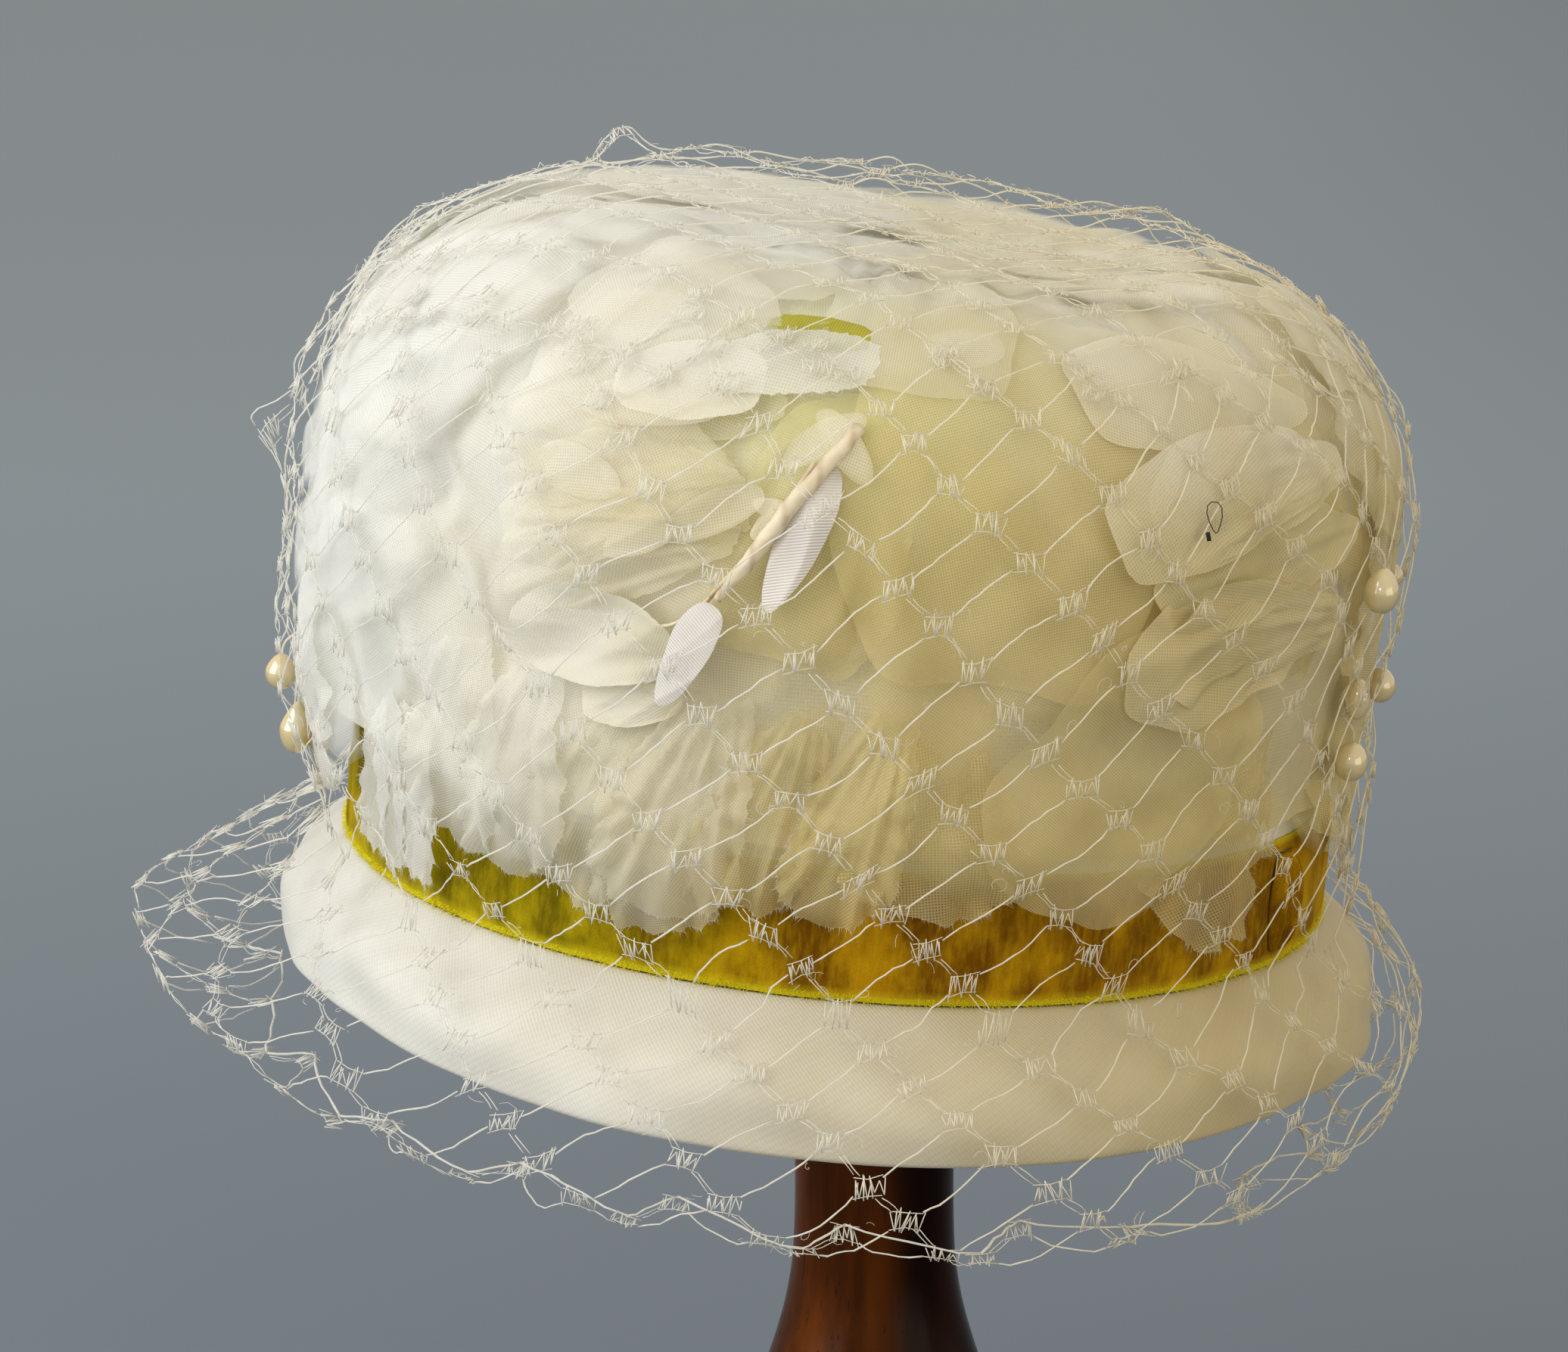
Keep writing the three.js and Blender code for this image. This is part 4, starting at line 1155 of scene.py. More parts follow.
def silk(name, cover, pitch, weave_depth, gloss, soft=0.0):
    """Woven silk: cover is the light that a gap stops, pitch is in millimetres, soft thins out the rim."""
    finish = Finish(name)
    warp = finish.threads(finish.cloth_place(), pitch, "X")
    weft = finish.threads(finish.cloth_place(), pitch, "Y")
    clouds = finish.noise(finish.place(), 22.0, 1.0)
    weave = 1 - (1 - warp) * (1 - weft)
    # The tint mark holds the petal's own tint and painted shade; the deep mark holds painted shade in the
    # flower's depth.
    tint = finish.between(finish.attribute("tint") + 0.35 * (clouds - 0.5), 0.0, 1.0)
    deep = finish.between(finish.attribute("deep"), 0.05, 0.95)
    on_thread = (deep * 0.55, (tint, WHITE_SILK, TAN_SILK), GREEN_SILK)
    in_gap = (deep, (tint, WHITE_GAP, TAN_GAP), GREEN_GAP)
    recipe = ((1 - weave) * weave_depth, on_thread, in_gap)
    sheen = {"Sheen Weight": 0.25, "Sheen Roughness": 0.4, "Specular IOR Level": 0.25}
    normal = finish.bump(weave, WEAVE_BUMP) if cover >= CREPE_COVER else None
    cloth = finish.coat(finish.colour_of(recipe), gloss + 0.15 * clouds, normal, sheen)
    body = finish.mixed(BACK_LIGHT, cloth, finish.lit_behind(recipe))
    if cover >= CLOSED:
        return finish.show(body)
    clear = finish.node("ShaderNodeBsdfTransparent")
    rim = finish.between(finish.attribute("rim"), 0.70 if soft else 0.97, 1.0)
    share = (cover + (1 - cover) * 0.55 * weave) * (1 - soft * rim) + 0.06 * (1 - soft) * rim
    return finish.show(finish.mixed(share, clear, body))


SHEER = silk("sheer_silk", 0.36, 0.42, 0.30, 0.55, 0.35)
SOFT = silk("soft_silk", 0.45, 0.46, 0.25, 0.55, 0.85)
VEILED = silk("veiled_silk", 0.16, 0.52, 0.45, 0.55)
CREPE = silk("crepe_silk", 0.66, 0.50, 0.5, 0.50)
CLOSE = silk("close_silk", CLOSED, 0.52, 0.30, 0.45)
SATIN_SILK = silk("satin_silk", 0.985, 0.45, 0.15, 0.30)
print("silk finishes:", [cloth.name for cloth in (SHEER, SOFT, VEILED, CREPE, CLOSE, SATIN_SILK)])

# %% [markdown]
# ## Sewing on the petals
# The petals go on in the table's order. Each piece stands in one CAD petal's place, and may be a whole row
# of real petals. The strip that it was cut from is worked out: as wide as a petal, and as long as the
# petals' area asks for, with some more for the turnings. The rims of the ragged cuts are kept, since loose
# threads will grow from them.

# %% Petals
CLOTH_OF_CUT = {"satin": SATIN_SILK, "bud": SATIN_SILK, "torn": CREPE, "spoon": CREPE, "small": SOFT}
VEILED_PETALS = ("hem_green", "hem_right")
TURNINGS = 1.3
FRINGED = 0.03

silk_pieces, rims = {}, []
for number, (name, (*ends, width, layer, cut, tint, rows)) in enumerate(PETALS.items()):
    root, end = ends_on(ends)
    level = layer * LAYER_PITCH + PETAL_MIDDLE
    parts, area = petal_rows(root, end, width, level, cut, tint, 100 + number, rows)
    points, *rest = joined(parts)
    piece = hat_piece("silk_" + name, points, *rest)
    cloth = VEILED if name in VEILED_PETALS else CLOTH_OF_CUT.get(cut, SHEER)
    dress(piece, cloth, "petals", "petal_" + name)
    strip = area / width * TURNINGS
    strip * MM
    area * MM**2
    silk_pieces[name] = (piece, round(width), round(strip))
    if CUTS[cut].ragged >= FRINGED:
        rims += [part[0] for part in parts]
print("petal pieces:", len(silk_pieces), "with frayed rims:", len(rims))
print("flat strips, mm:", {name: size[1:] for name, size in silk_pieces.items()})

# %% [markdown]
# ## The deep layers
# Between the petals that show, many small ones fill the flower to the felt. They are the same cut, only
# smaller and plainer, scattered by the golden angle so that they cover the crown evenly.

# %% Filling petals
GOLDEN_ANGLE = 137.508
FILL_COUNT = 120
FILL_RINGS = 4
FILL_TURNS = 18
TOP_SHARE = 0.32
FILL_SINK = 0.95
FILL_LEVEL = -0.3
FILL_STRIP = 30.0


def filling_parts(sink, level, seed):
    """Petals whose middles wind round the crown by the golden angle, evenly by area."""
    rng = np.random.default_rng(seed)
    order = (np.arange(FILL_COUNT) + 0.5) / FILL_COUNT
    over_top = np.degrees(np.arctan2(1.0, np.sqrt(order / TOP_SHARE)))
    down_side = np.degrees(np.arctan2(0.98 - 0.70 * (order - TOP_SHARE) / (1 - TOP_SHARE), 1.0))
    lift = np.where(order < TOP_SHARE, over_top, down_side)
    around = GOLDEN_ANGLE * np.arange(FILL_COUNT) + seed * 40.0
    spots = crown_spot(around, lift)
    out = outward(spots)
    down = unit(np.cross(np.cross(spots, np.array([0, 0, 1.0])), out) + 1e-6)
    down *= np.sign(down[:, 2:3] * -1 + 1e-3)
    side = np.cross(out, down)
    turn = rng.normal(0, 0.5, FILL_COUNT)[:, None]
    along = down * np.cos(turn) + side * np.sin(turn)
    half = rng.uniform(13, 17, FILL_COUNT)[:, None]
    # Tan grows towards the right, partly as painted shade, with a random spread.
    tints_and_shades = np.clip(0.35 + spots[:, 0] / 200 + rng.normal(0, 0.1, FILL_COUNT), 0, 1)
    parts, total = [], 0.0
    for i in range(FILL_COUNT):
        root, end = onto_crown(spots[i] - along[i] * half[i]), onto_crown(spots[i] + along[i] * half[i])
        width = half[i, 0] * rng.uniform(1.5, 1.8)
        sizes = (root, end, width, level + rng.uniform(-0.4, 0.4), "fill", tints_and_shades[i], rng.integers(1 << 30))
        part, area = petal_parts(*sizes, FILL_RINGS, FILL_TURNS, sink)
        parts.append(part)
        total += area
    return parts, total


parts, area = filling_parts(FILL_SINK, FILL_LEVEL, 1)
points, *rest = joined(parts)
filling = dress(hat_piece("filling_silk_1", points, *rest), SOFT, "petals", "under_petals")
strip = area / FILL_STRIP * TURNINGS
strip * MM
area * MM**2
print("filling petals:", len(parts), "cut from a strip, mm:", round(strip))

# %% [markdown]
# ## Lining
# Behind the petals lies a crumpled silk lining, so that bare felt shows nowhere between them. It is one cap
# of cloth on the crown's form, and its crumples are soft random swells in two sizes.

# %% Lining
LINING_TURNS = 160
LINING_ROWS = 60
LINING_FOOT = 14.0
LINING_RISE = 0.9
LINING_SHARE = 0.74
LINING_CRUMPLE = ((13.0, 0.30), (5.0, 0.09))


def silk_lining():
    """A cap of cloth that follows the crown most of the way out to the petals, crumpled by waves."""
    rng = np.random.default_rng(21)
    lift = np.linspace(POLE_LIFT, LINING_FOOT, LINING_ROWS)[:, None]
    spots = crown_spot(ring_turns(LINING_TURNS)[None, :], lift)
    arc = np.radians(ring_turns(LINING_TURNS))[None, :] * HALF_WIDTH
    arc, rise = np.broadcast_arrays(arc, lift)
    (broad, broad_depth), (fine, fine_depth) = LINING_CRUMPLE
    crumple = waves(arc, rise * 1.6, broad, rng) * broad_depth + waves(arc, rise, fine, rng) * fine_depth
    height = LINING_RISE + LINING_SHARE * (puff(spots) + relief(spots)) + crumple
    points = spots + outward(spots) * height[..., None]
    faces = [grid_faces(LINING_ROWS, LINING_TURNS, True)[:, ::-1], np.arange(LINING_TURNS)[None, :]]
    uv = np.stack([arc, rise * 1.7], -1) * MM
    # The lining gets the same painted shade: tan towards the right and low in front, and yellow-green in the
    # depth.
    deep = depth_of(spots)
    marks = {"rim": 0 * deep, "tint": painted_silk_shade(spots) + 0.10, "deep": 0.6 * deep}
    return hat_piece("silk_lining", points, faces, uv, marks)


lining = dress(silk_lining(), CLOSE, "petals", "under_petals")
print("lining faces:", len(lining.data.polygons))

# %% [markdown]
# ## Frayed threads
# Where silk is cut and not hemmed, its outermost threads work loose and stand out as a soft fringe. Each
# hair starts on the rim of a petal that hangs over the ribbon and runs on outwards, bent a little.

# %% Fringe
HAIR_PITCH = 0.42
HAIR_WIDTH = 0.06
THREAD_LIGHT = 0.5
RIM_FROM = 0.19
RIM_TO = 0.81
RIM_SHARE = 0.62


def rim_hairs(seed):
    """Roots lie between neighbouring points of each rim's outer half; tips carry on from the ring inside."""
    rng = np.random.default_rng(seed)
    roots, tips = [], []
    for points in rims:
        rim, inside = points[-PETAL_TURNS:], points[-2 * PETAL_TURNS : -PETAL_TURNS]
        step = np.linalg.norm(np.roll(rim, -1, 0) - rim, axis=1).mean()
        count = int(PETAL_TURNS * RIM_SHARE * step / HAIR_PITCH)
        spot = rng.uniform(RIM_FROM, RIM_TO, count) * PETAL_TURNS
        low = spot.astype(int)
        part = (spot - low)[:, None]
        high = (low + 1) % PETAL_TURNS
        root = rim[low] * (1 - part) + rim[high] * part
        away = unit(rim[low] - inside[low]) + rng.normal(0, 0.22, (count, 3))
        roots.append(root - unit(away) * 0.2)
        tips.append(root + unit(away) * rng.gamma(3.0, 0.36, count)[:, None])
    return np.concatenate(roots), np.concatenate(tips)


def thread(name, pale, painted_shade):
    """Silk or cotton thread, lit from behind too: pale on the left and yellower on the right, which is
    painted shade.
    """
    finish = Finish(name)
    twist = finish.noise(finish.place(), 0.9, 3.0, 0.7)
    across = finish.sideways()
    rightness = finish.between(across, -50.0, 60.0)
    # Painted shade: the thread is mixed towards its yellower colour on the right, and a little by its random
    # twist.
    recipe = (rightness * 0.8 + finish.between(twist, 0.45, 0.8) * 0.2, pale, painted_shade)
    gloss = {"Sheen Weight": 0.5, "Specular IOR Level": 0.4}
    solid = finish.coat(finish.colour_of(recipe), 0.42 + 0.2 * twist, None, gloss)
    return finish.show(finish.mixed(THREAD_LIGHT, solid, finish.lit_behind(recipe)))


LOOSE_THREAD = thread("loose_thread", (0.96, 0.94, 0.84), (0.80, 0.74, 0.54))
roots, tips = rim_hairs(31)
dress(hair_tufts("frayed_threads", roots, tips, HAIR_WIDTH), LOOSE_THREAD, "petals")
print("frayed hairs:", len(roots))

# %% [markdown]
# ## A spray of paper and wire
# In the middle of the flower lies the bare end of a spray: a stem of paper wound round wire, with two silk
# leaves beside it. The paper strip is wound at a slant, so the stem's section is two soft lobes that turn
# as they go. This stem, the wires and later all the net's threads are tubes along paths.

# %% Tubes along paths
def tubes(paths, radii, sides, upright):
    """Closed tubes along many paths at once: paths is (count, points, 3), radii one or (count, points)."""
    count, steps = paths.shape[:2]
    radii = np.broadcast_to(radii, (count, steps))
    ahead = np.concatenate([paths[:, 1:], 2 * paths[:, -1:] - paths[:, -2:-1]], 1)
    behind = np.concatenate([2 * paths[:, :1] - paths[:, 1:2], paths[:, :-1]], 1)
    along = unit(ahead - behind)
    side = unit(np.cross(along, upright))
    other = np.cross(side, along)
    turn = np.linspace(0, 2 * math.pi, sides, endpoint=False)
    ring = side[:, :, None] * np.cos(turn)[:, None] + other[:, :, None] * np.sin(turn)[:, None]
    points = paths[:, :, None] + ring * radii[:, :, None, None]
    one = grid_faces(steps, sides, True)
    starts = (np.arange(count) * steps * sides)[:, None, None]
    walls = (one[None] + starts).reshape(-1, 4)
    caps = np.stack([np.arange(sides)[::-1], (steps - 1) * sides + np.arange(sides)])
    ends = (caps[None] + starts).reshape(-1, sides)
    return points.reshape(-1, 3), [walls, ends]


def run_of(points):
    """Length from the first point to each along a path."""
    return np.concatenate([[0], np.linalg.norm(np.diff(points, axis=0), axis=-1).cumsum()])


def gathered(parts):
    """Joins several (points, faces) sets."""
    starts = np.cumsum([0] + [len(points) for points, _ in parts])
    faces = [face + start for (_, own), start in zip(parts, starts) for face in own]
    return np.concatenate([points for points, _ in parts]), faces


corner_path = np.array([[0.0, 0.0, 0.0], [3.0, 0.0, 0.0], [3.0, 4.0, 0.0]])
print("a path of 3 mm and then 4 mm is this long, mm:", run_of(corner_path)[-1])

# %% [markdown]
# ## Stem and wires
# The stem is a tube along a rounded curve over the petals. Its radius swells twice round each turn of the
# wound strip, and a dark line marks the lap. Bare wires, wound in the same paper, fork from its lower end.

# %% Stem and wires
SPRAY_STEM = [(-3.5, 43.2, 2.2, 1.2), (-8.6, 38.8, 4.2, 1.45), (-12.3, 35, 4.4, 1.3), (-15, 32.3, 4.2, 0.75)]
SPRAY_WIRES = [
    [(-15.4, 32.7, 3.5), (-17.0, 31.4, 3.9), (-19.0, 30.3, 3.9), (-21.2, 29.9, 3.4)],
    [(-15.6, 32.5, 3.3), (-17.2, 30.8, 3.6), (-18.2, 29.2, 3.6), (-18.6, 27.6, 3.3)],
    [(-7.5, 40.8, 4.6), (-10.0, 37.9, 4.8), (-13.1, 34.8, 4.4), (-15.8, 32.4, 4.0)],
]
STEM_SIDES = 20
WIND_PITCH = 9.0
SPRAY_WIRE_RADIUS = 0.34


def over_petals(around, lift, height):
    """A point that stands off the lowest petals' height."""
    spot = crown_spot(around, lift)
    return spot + outward(spot) * (puff(spot) + height)[..., None]


def spray_stem():
    """A tube whose radius swells twice round each turn of the wound paper strip."""
    nodes = rounded(SPRAY_STEM, 14)
    path = over_petals(nodes[:, 0], nodes[:, 1], nodes[:, 2])
    points, faces = tubes(path[None], nodes[None, :, 3], STEM_SIDES, outward(path)[None])
    rings = points.reshape(len(path), STEM_SIDES, 3)
    run = run_of(path)
    turn = np.linspace(0, 2 * math.pi, STEM_SIDES, endpoint=False)
    lobes = 1 + 0.07 * np.cos(turn[None, :] - 2 * math.pi * run[:, None] / WIND_PITCH)
    lobes += 0.05 * np.sin(3 * turn[None, :] + run[:, None] * 1.3)
    lap = (0.5 + 0.5 * np.cos(turn[None, :] - 2 * math.pi * run[:, None] / WIND_PITCH)) ** 12
    around_path = path[:, None] + (rings - path[:, None]) * lobes[..., None]
    return hat_piece("spray_stalk", around_path, faces, None, {"lap": lap})


def paper():
    """Paper strip: long fibres, a few stains, and a dark line where one turn laps over the last."""
    finish = Finish("wound_paper")
    fibres = finish.noise(finish.place((0.5, 1, 0.5)), 0.8, 3.0, 0.7)
    stains = finish.noise(finish.place(), 6.0, 3.0)
    clean = finish.blend(fibres, (0.72, 0.60, 0.40), (0.84, 0.76, 0.60))
    darkened = finish.blend(finish.between(stains, 0.5, 0.7) * 0.5, clean, (0.62, 0.45, 0.25))
    colour = finish.blend(finish.attribute("lap") * 0.5, darkened, (0.34, 0.22, 0.10))
    return finish.show(finish.coat(colour, 0.5 + 0.2 * fibres, finish.bump(fibres, 0.12)))


PAPER = paper()
dress(spray_stem(), PAPER, "paper", "spray_stem")
wires = np.stack([rounded(over_petals(*np.array(wire).T), 6) for wire in SPRAY_WIRES])
wire_points, wire_faces = tubes(wires, SPRAY_WIRE_RADIUS, 8, outward(wires))
dress(hat_piece("spray_wires", wire_points, wire_faces), PAPER, "paper")
print("wires, mm long:", [run_of(wire)[-1].round(1) for wire in wires])

# %% [markdown]
# ## Two leaves
# Each leaf is a petal again, narrow and nearly flat, cut from a stiffened silk with a close rib.

# %% Leaves
LEAVES = {
    "spray_leaf_upper": (-5.8, 40.8, -10.2, 32.0, 7.2, 3.9),
    "spray_leaf_lower": (-15.2, 32.0, -19.2, 24.8, 6.6, 5.6),
}


def ribbed_silk():
    """A stiffened silk leaf, pinkish white, with a close rib that runs its length."""
    finish = Finish("ribbed_silk")
    rib = finish.threads(finish.cloth_place(), 0.42, "X")
    clouds = finish.noise(finish.place(), 5.0)
    face = finish.blend(clouds, (0.90, 0.88, 0.85), (0.86, 0.82, 0.77))
    colour = finish.blend((1 - rib) * 0.7, face, (0.66, 0.59, 0.52))
    return finish.show(finish.coat(colour, 0.4 + 0.1 * clouds, finish.bump(rib, 0.1)))


LEAF_SILK = ribbed_silk()
for number, (name, (*ends, width, level)) in enumerate(LEAVES.items()):
    root, end = ends_on(ends)
    (points, *rest), _ = petal_parts(root, end, width, level, "leaf", 0.05, 60 + number)
    dress(hat_piece("silk_" + name, points, *rest), LEAF_SILK, "petals", name)
print("leaves:", len(LEAVES))

# %% [markdown]
# ## Small cuttings and a scrap of thread
# Round the stem lie small curled cuttings, two buds of leaf, and a sliver of the flower's olive calyx. They
# are petals again, from short tables of root, tip, width and level. One scrap of dark thread, a lump and a
# loop, is caught in the silk on the right.

# %% Small cuttings
SMALL_RINGS = 12
SMALL_TURNS = 48
CURLS = [
    (-20.5, 35.6, -12.0, 38.8, 6.0, 4.6),
    (-36.0, 38.6, -26.0, 37.6, 6.5, 3.6),
    (-27.5, 34.2, -20.0, 36.0, 5.5, 3.9),
    (-10.8, 40.6, -3.0, 43.8, 5.0, 4.2),
    (-8.0, 44.0, -2.0, 40.0, 5.0, 4.0),
    (-32.5, 42.0, -17.0, 43.6, 8.0, 4.4),
    (-41.0, 47.5, -24.0, 48.5, 10.0, 3.4),
    (3.0, 49.0, 14.0, 50.5, 8.0, 3.2),
]
CALYX = [(-16.5, 49.4, -3.5, 49.6, 7.0, 3.3)]
LOOSE_LEAVES = [(-9.8, 38.0, -12.6, 36.2, 4.0, 3.4), (-9.0, 37.6, -13.2, 38.3, 3.4, 3.0)]


def small_silk(name, cuttings, cut, tint, cloth):
    """One piece of several small cuttings, each with its own root, tip, width and level."""
    small = []
    for number, (*ends, width, level) in enumerate(cuttings):
        root, end = ends_on(ends)
        sizes = (root, end, width, level, cut, tint, 70 + number)
        small.append(petal_parts(*sizes, SMALL_RINGS, SMALL_TURNS)[0])
    points, *rest = joined(small)
    dress(hat_piece(name, points, *rest), cloth, "petals")


def calyx_green():
    """The olive cloth of the flower's calyx, which shows in one gap over the bud."""
    finish = Finish("calyx_green")
    weft = finish.threads(finish.cloth_place(), 0.45, "Y")
    clouds = finish.noise(finish.place(), 4.0)
    colour = finish.blend(clouds, (0.30, 0.28, 0.012), (0.48, 0.44, 0.035))
    return finish.show(finish.coat(colour, 0.6 + 0.1 * clouds, finish.bump(weft, 0.08)))


def dark_knot():
    """A scrap of dark thread caught in the silk: a small lump and a thin loop."""
    turn = np.linspace(0, 2 * math.pi, 12)
    short = turn[:4]
    lump = np.stack([33.0 + 0.12 * np.cos(short), 37.3 + 0.5 * short / short[-1], 0 * short + 6.8], -1)
    loop = np.stack([34.0 + 0.9 * np.cos(turn), 38.6 + 0.9 * np.sin(turn), 6.9 + 0.5 * np.sin(2 * turn)], -1)
    parts = []
    for nodes, thick in ((lump, 0.42), (loop, 0.10)):
        path = over_petals(nodes[:, 0], nodes[:, 1], nodes[:, 2])
        parts.append(tubes(path[None], thick, 6, outward(path)[None]))
    points, faces = gathered(parts)
    return hat_piece("dark_knot", points, faces)


DARK_THREAD = thread("dark_thread", (0.05, 0.03, 0.02), (0.03, 0.02, 0.015))
dress(dark_knot(), DARK_THREAD, "net")
small_silk("silk_leaf_buds", LOOSE_LEAVES, "leaf", 0.3, CLOSE)
small_silk("silk_curls", CURLS, "curl", 0.25, SHEER)
small_silk("silk_calyx", CALYX, "torn", 0.3, calyx_green())
print("small cuttings:", len(LOOSE_LEAVES) + len(CURLS) + len(CALYX))

# %% [markdown]
# ## Bead drops
# At each side hang a few wax beads made to look like pearls. A bead is a drop: round below, drawn out to a
# thin neck where its thread or wire comes out. The pearly look is a pale, glossy coat over a cloudy body.

# %% Beads
# CAD bead: around, lift, height over the lowest petals, radius, height over width, how drawn out its neck is
BEADS = {
    "pearl_left_upper": (-83, 14.5, 4.3, 3.0, 1.12, 0.5),
    "pearl_left_drop": (-86, 8.5, 4.6, 3.3, 1.45, 1.0),
    "pearl_right_top": (60, 32.5, 8.0, 3.3, 1.25, 0.5),
    "pearl_right_rear": (80, 31, 1.8, 2.2, 1.0, 0.2),
    "pearl_right_middle": (82, 22, 4.3, 3.0, 1.1, 0.3),
    "pearl_right_long": (66, 23.5, 3.7, 2.4, 1.6, 0.4),
    "pearl_right_low": (65, 18.5, 4.5, 3.2, 1.15, 0.2),
}
UP = np.array([0.0, 0.0, 1.0])
WIRE_RISE = np.array([[-0.4], [1.0], [2.6], [4.4]])
WIRE_LEAN = np.array([[0.0], [0.0], [-0.6], [-2.6]])
BEAD_WIRE_RADIUS = 0.22
BEAD_RINGS = 24
BEAD_TURNS = 32


def bead(around, lift, height, radius, stretch, neck):
    """A round profile whose upper half is drawn in by a power, so that it ends in a neck."""
    spot = crown_spot(around, lift)
    centre = spot + outward(spot) * (puff(spot) + height)
    rise = np.linspace(-math.pi / 2, math.pi / 2, BEAD_RINGS + 2)[1:-1, None]
    turn = np.linspace(0, 2 * math.pi, BEAD_TURNS, endpoint=False)[None, :]
    upper = np.clip(np.sin(rise), 0, 1)
    out = radius * np.cos(rise) * (1 - 0.45 * neck * upper**1.2)
    tall = radius * stretch * np.sin(rise) * (1 + 0.12 * neck * upper)
    x, y, z = np.broadcast_arrays(out * np.cos(turn), out * np.sin(turn), tall)
    points = centre + np.stack([x, y, z], -1).reshape(-1, 3)
    faces = [grid_faces(BEAD_RINGS, BEAD_TURNS, True), *end_faces(BEAD_RINGS, BEAD_TURNS)]
    tip = centre + np.array([0, 0, radius * stretch * (1 + 0.12 * neck)])
    return points, faces, tip, outward(spot)


def pearly():
    """Wax bead: a cloudy body with painted shade that darkens it towards its outline, and worn patches,
    under a hard clear coat.
    """
    finish = Finish("pearly_wax")
    clouds = finish.noise(finish.place(), 2.4, 3.0)
    worn = finish.between(finish.noise(finish.place(), 1.0, 3.0, 0.6), 0.6, 0.75)
    facing = finish.node("ShaderNodeLayerWeight", None, {"Blend": 0.35}, out="Facing")
    body = finish.blend(clouds, (0.66, 0.52, 0.24), (0.78, 0.66, 0.37))
    # Painted shade: the colour darkens to brown towards the bead's outline, and worn patches add to it.
    colour = finish.blend(facing * 0.8 + 0.2 * worn, body, (0.46, 0.29, 0.10))
    gloss = {"Coat Weight": 1.0, "Coat Roughness": 0.06, "Coat IOR": 1.8, "Specular IOR Level": 1.0}
    return finish.show(finish.coat(colour, 0.16 + 0.15 * worn, finish.bump(clouds, 0.03), gloss))


PEARLY = pearly()
bead_wires = []
for name, sizes in BEADS.items():
    points, faces, tip, out = bead(*sizes)
    dress(hat_piece(name.replace("pearl", "bead"), points, faces), PEARLY, "pearl", name)
    bead_wires.append(rounded(tip + WIRE_RISE * UP + WIRE_LEAN * out, 5))
bead_wires = np.stack(bead_wires)
wire_points, wire_faces = tubes(bead_wires, BEAD_WIRE_RADIUS, 6, outward(bead_wires))
dress(hat_piece("bead_wires", wire_points, wire_faces), LOOSE_THREAD, "net")
print("beads:", len(BEADS))

# %% [markdown]
# ## The net
# Hat net is one fabric with an open, slanted mesh. Single threads climb to the right, pairs of threads fall
# to the right, and where they meet the machine winds a small ladder: two rails joined by fine loops. The
# net is drawn flat first, as a lattice of such knots that closes up after one turn of the hat, and then
# every point of every thread is carried onto the veil's surface: over the petals, in at the ribbon, and
# out and under in a loose skirt below the brim.

# %% The veil's surface
SKIRT_Z = np.array([0.0, -4, -12, -20, -28, -35, -40, -43, -42.5, -39])
SKIRT_REACH = {
    "left": np.array([11.5, 13.0, 23, 33, 40, 37, 31, 24, 18, 11]),
    "front": np.array([10.5, 11.0, 16, 22, 26, 28.5, 28, 25, 20, 14]),
    "right": np.array([11.5, 13.0, 20, 23, 22, 20, 17, 13, 9, 5]),
    "back": np.array([10.5, 11.0, 16, 20, 23, 24, 23, 20, 16, 11]),
}
SKIRT_DROP = {"left": 0.76, "front": 0.90, "right": 0.85, "back": 0.90}
PROFILE_LIFTS = np.linspace(90, 1, 120)


def over_veil(around, lift):
    """The upper veil: it lies on the petals."""
    spots = crown_spot(around, lift)
    return spots + outward(spots) * (puff(spots) + veil_clearance(spots))[..., None]


crown_run = run_of(over_veil(20.0, PROFILE_LIFTS))
skirt_run = crown_run[-1] + run_of(np.stack([SKIRT_REACH["front"], SKIRT_Z], -1))
print("veil, from its middle to the crown's base, mm:", crown_run[-1].round())
print("veil, from its middle to its hem, mm:", skirt_run[-1].round())


def veil_point(around, run):
    """The veil at degrees round and at a run down from the top: the crown's part, then the skirt's."""
    lift = np.interp(run, crown_run, PROFILE_LIFTS)
    upper = over_veil(around, lift)
    height = np.interp(run, skirt_run, SKIRT_Z) * by_side(SKIRT_DROP, around)
    sides = {side: np.interp(run, skirt_run, reach) for side, reach in SKIRT_REACH.items()}
    lower = skirt_spot(around, by_side(sides, around), height)
    return np.where((run < crown_run[-1])[..., None], upper, lower)

# %% [markdown]
# ## Slack in the net
# Net is cut larger than the crown and is only caught down here and there, so it stands off in small ridges
# and loops, and no thread runs quite true. Each loose place is a bump that falls off as a bell curve, and a
# soft random drift moves every thread, more freely outwards than into the petals.

# %% Loose places in the net
# place in hat millimetres, how wide, and how far the net stands off there
LOOSE_PLACES = [
    ((-50, 50, 122), 6.5, 6.0),
    ((-30, 62, 121), 12.0, 2.5),
    ((0, 66, 120), 15.0, 2.8),
    ((28, 62, 119), 13.0, 2.5),
    ((52, 50, 118), 12.0, 2.2),
    ((-107, -4, 76), 7.5, 9.0),
    ((-110, 6, 45), 12.0, 2.0),
]
DRIFT_SIZES = ((42.0, 1.3), (17.0, 0.55))
DRIFT_INWARD = 0.67
FLAT_STEP = 0.5


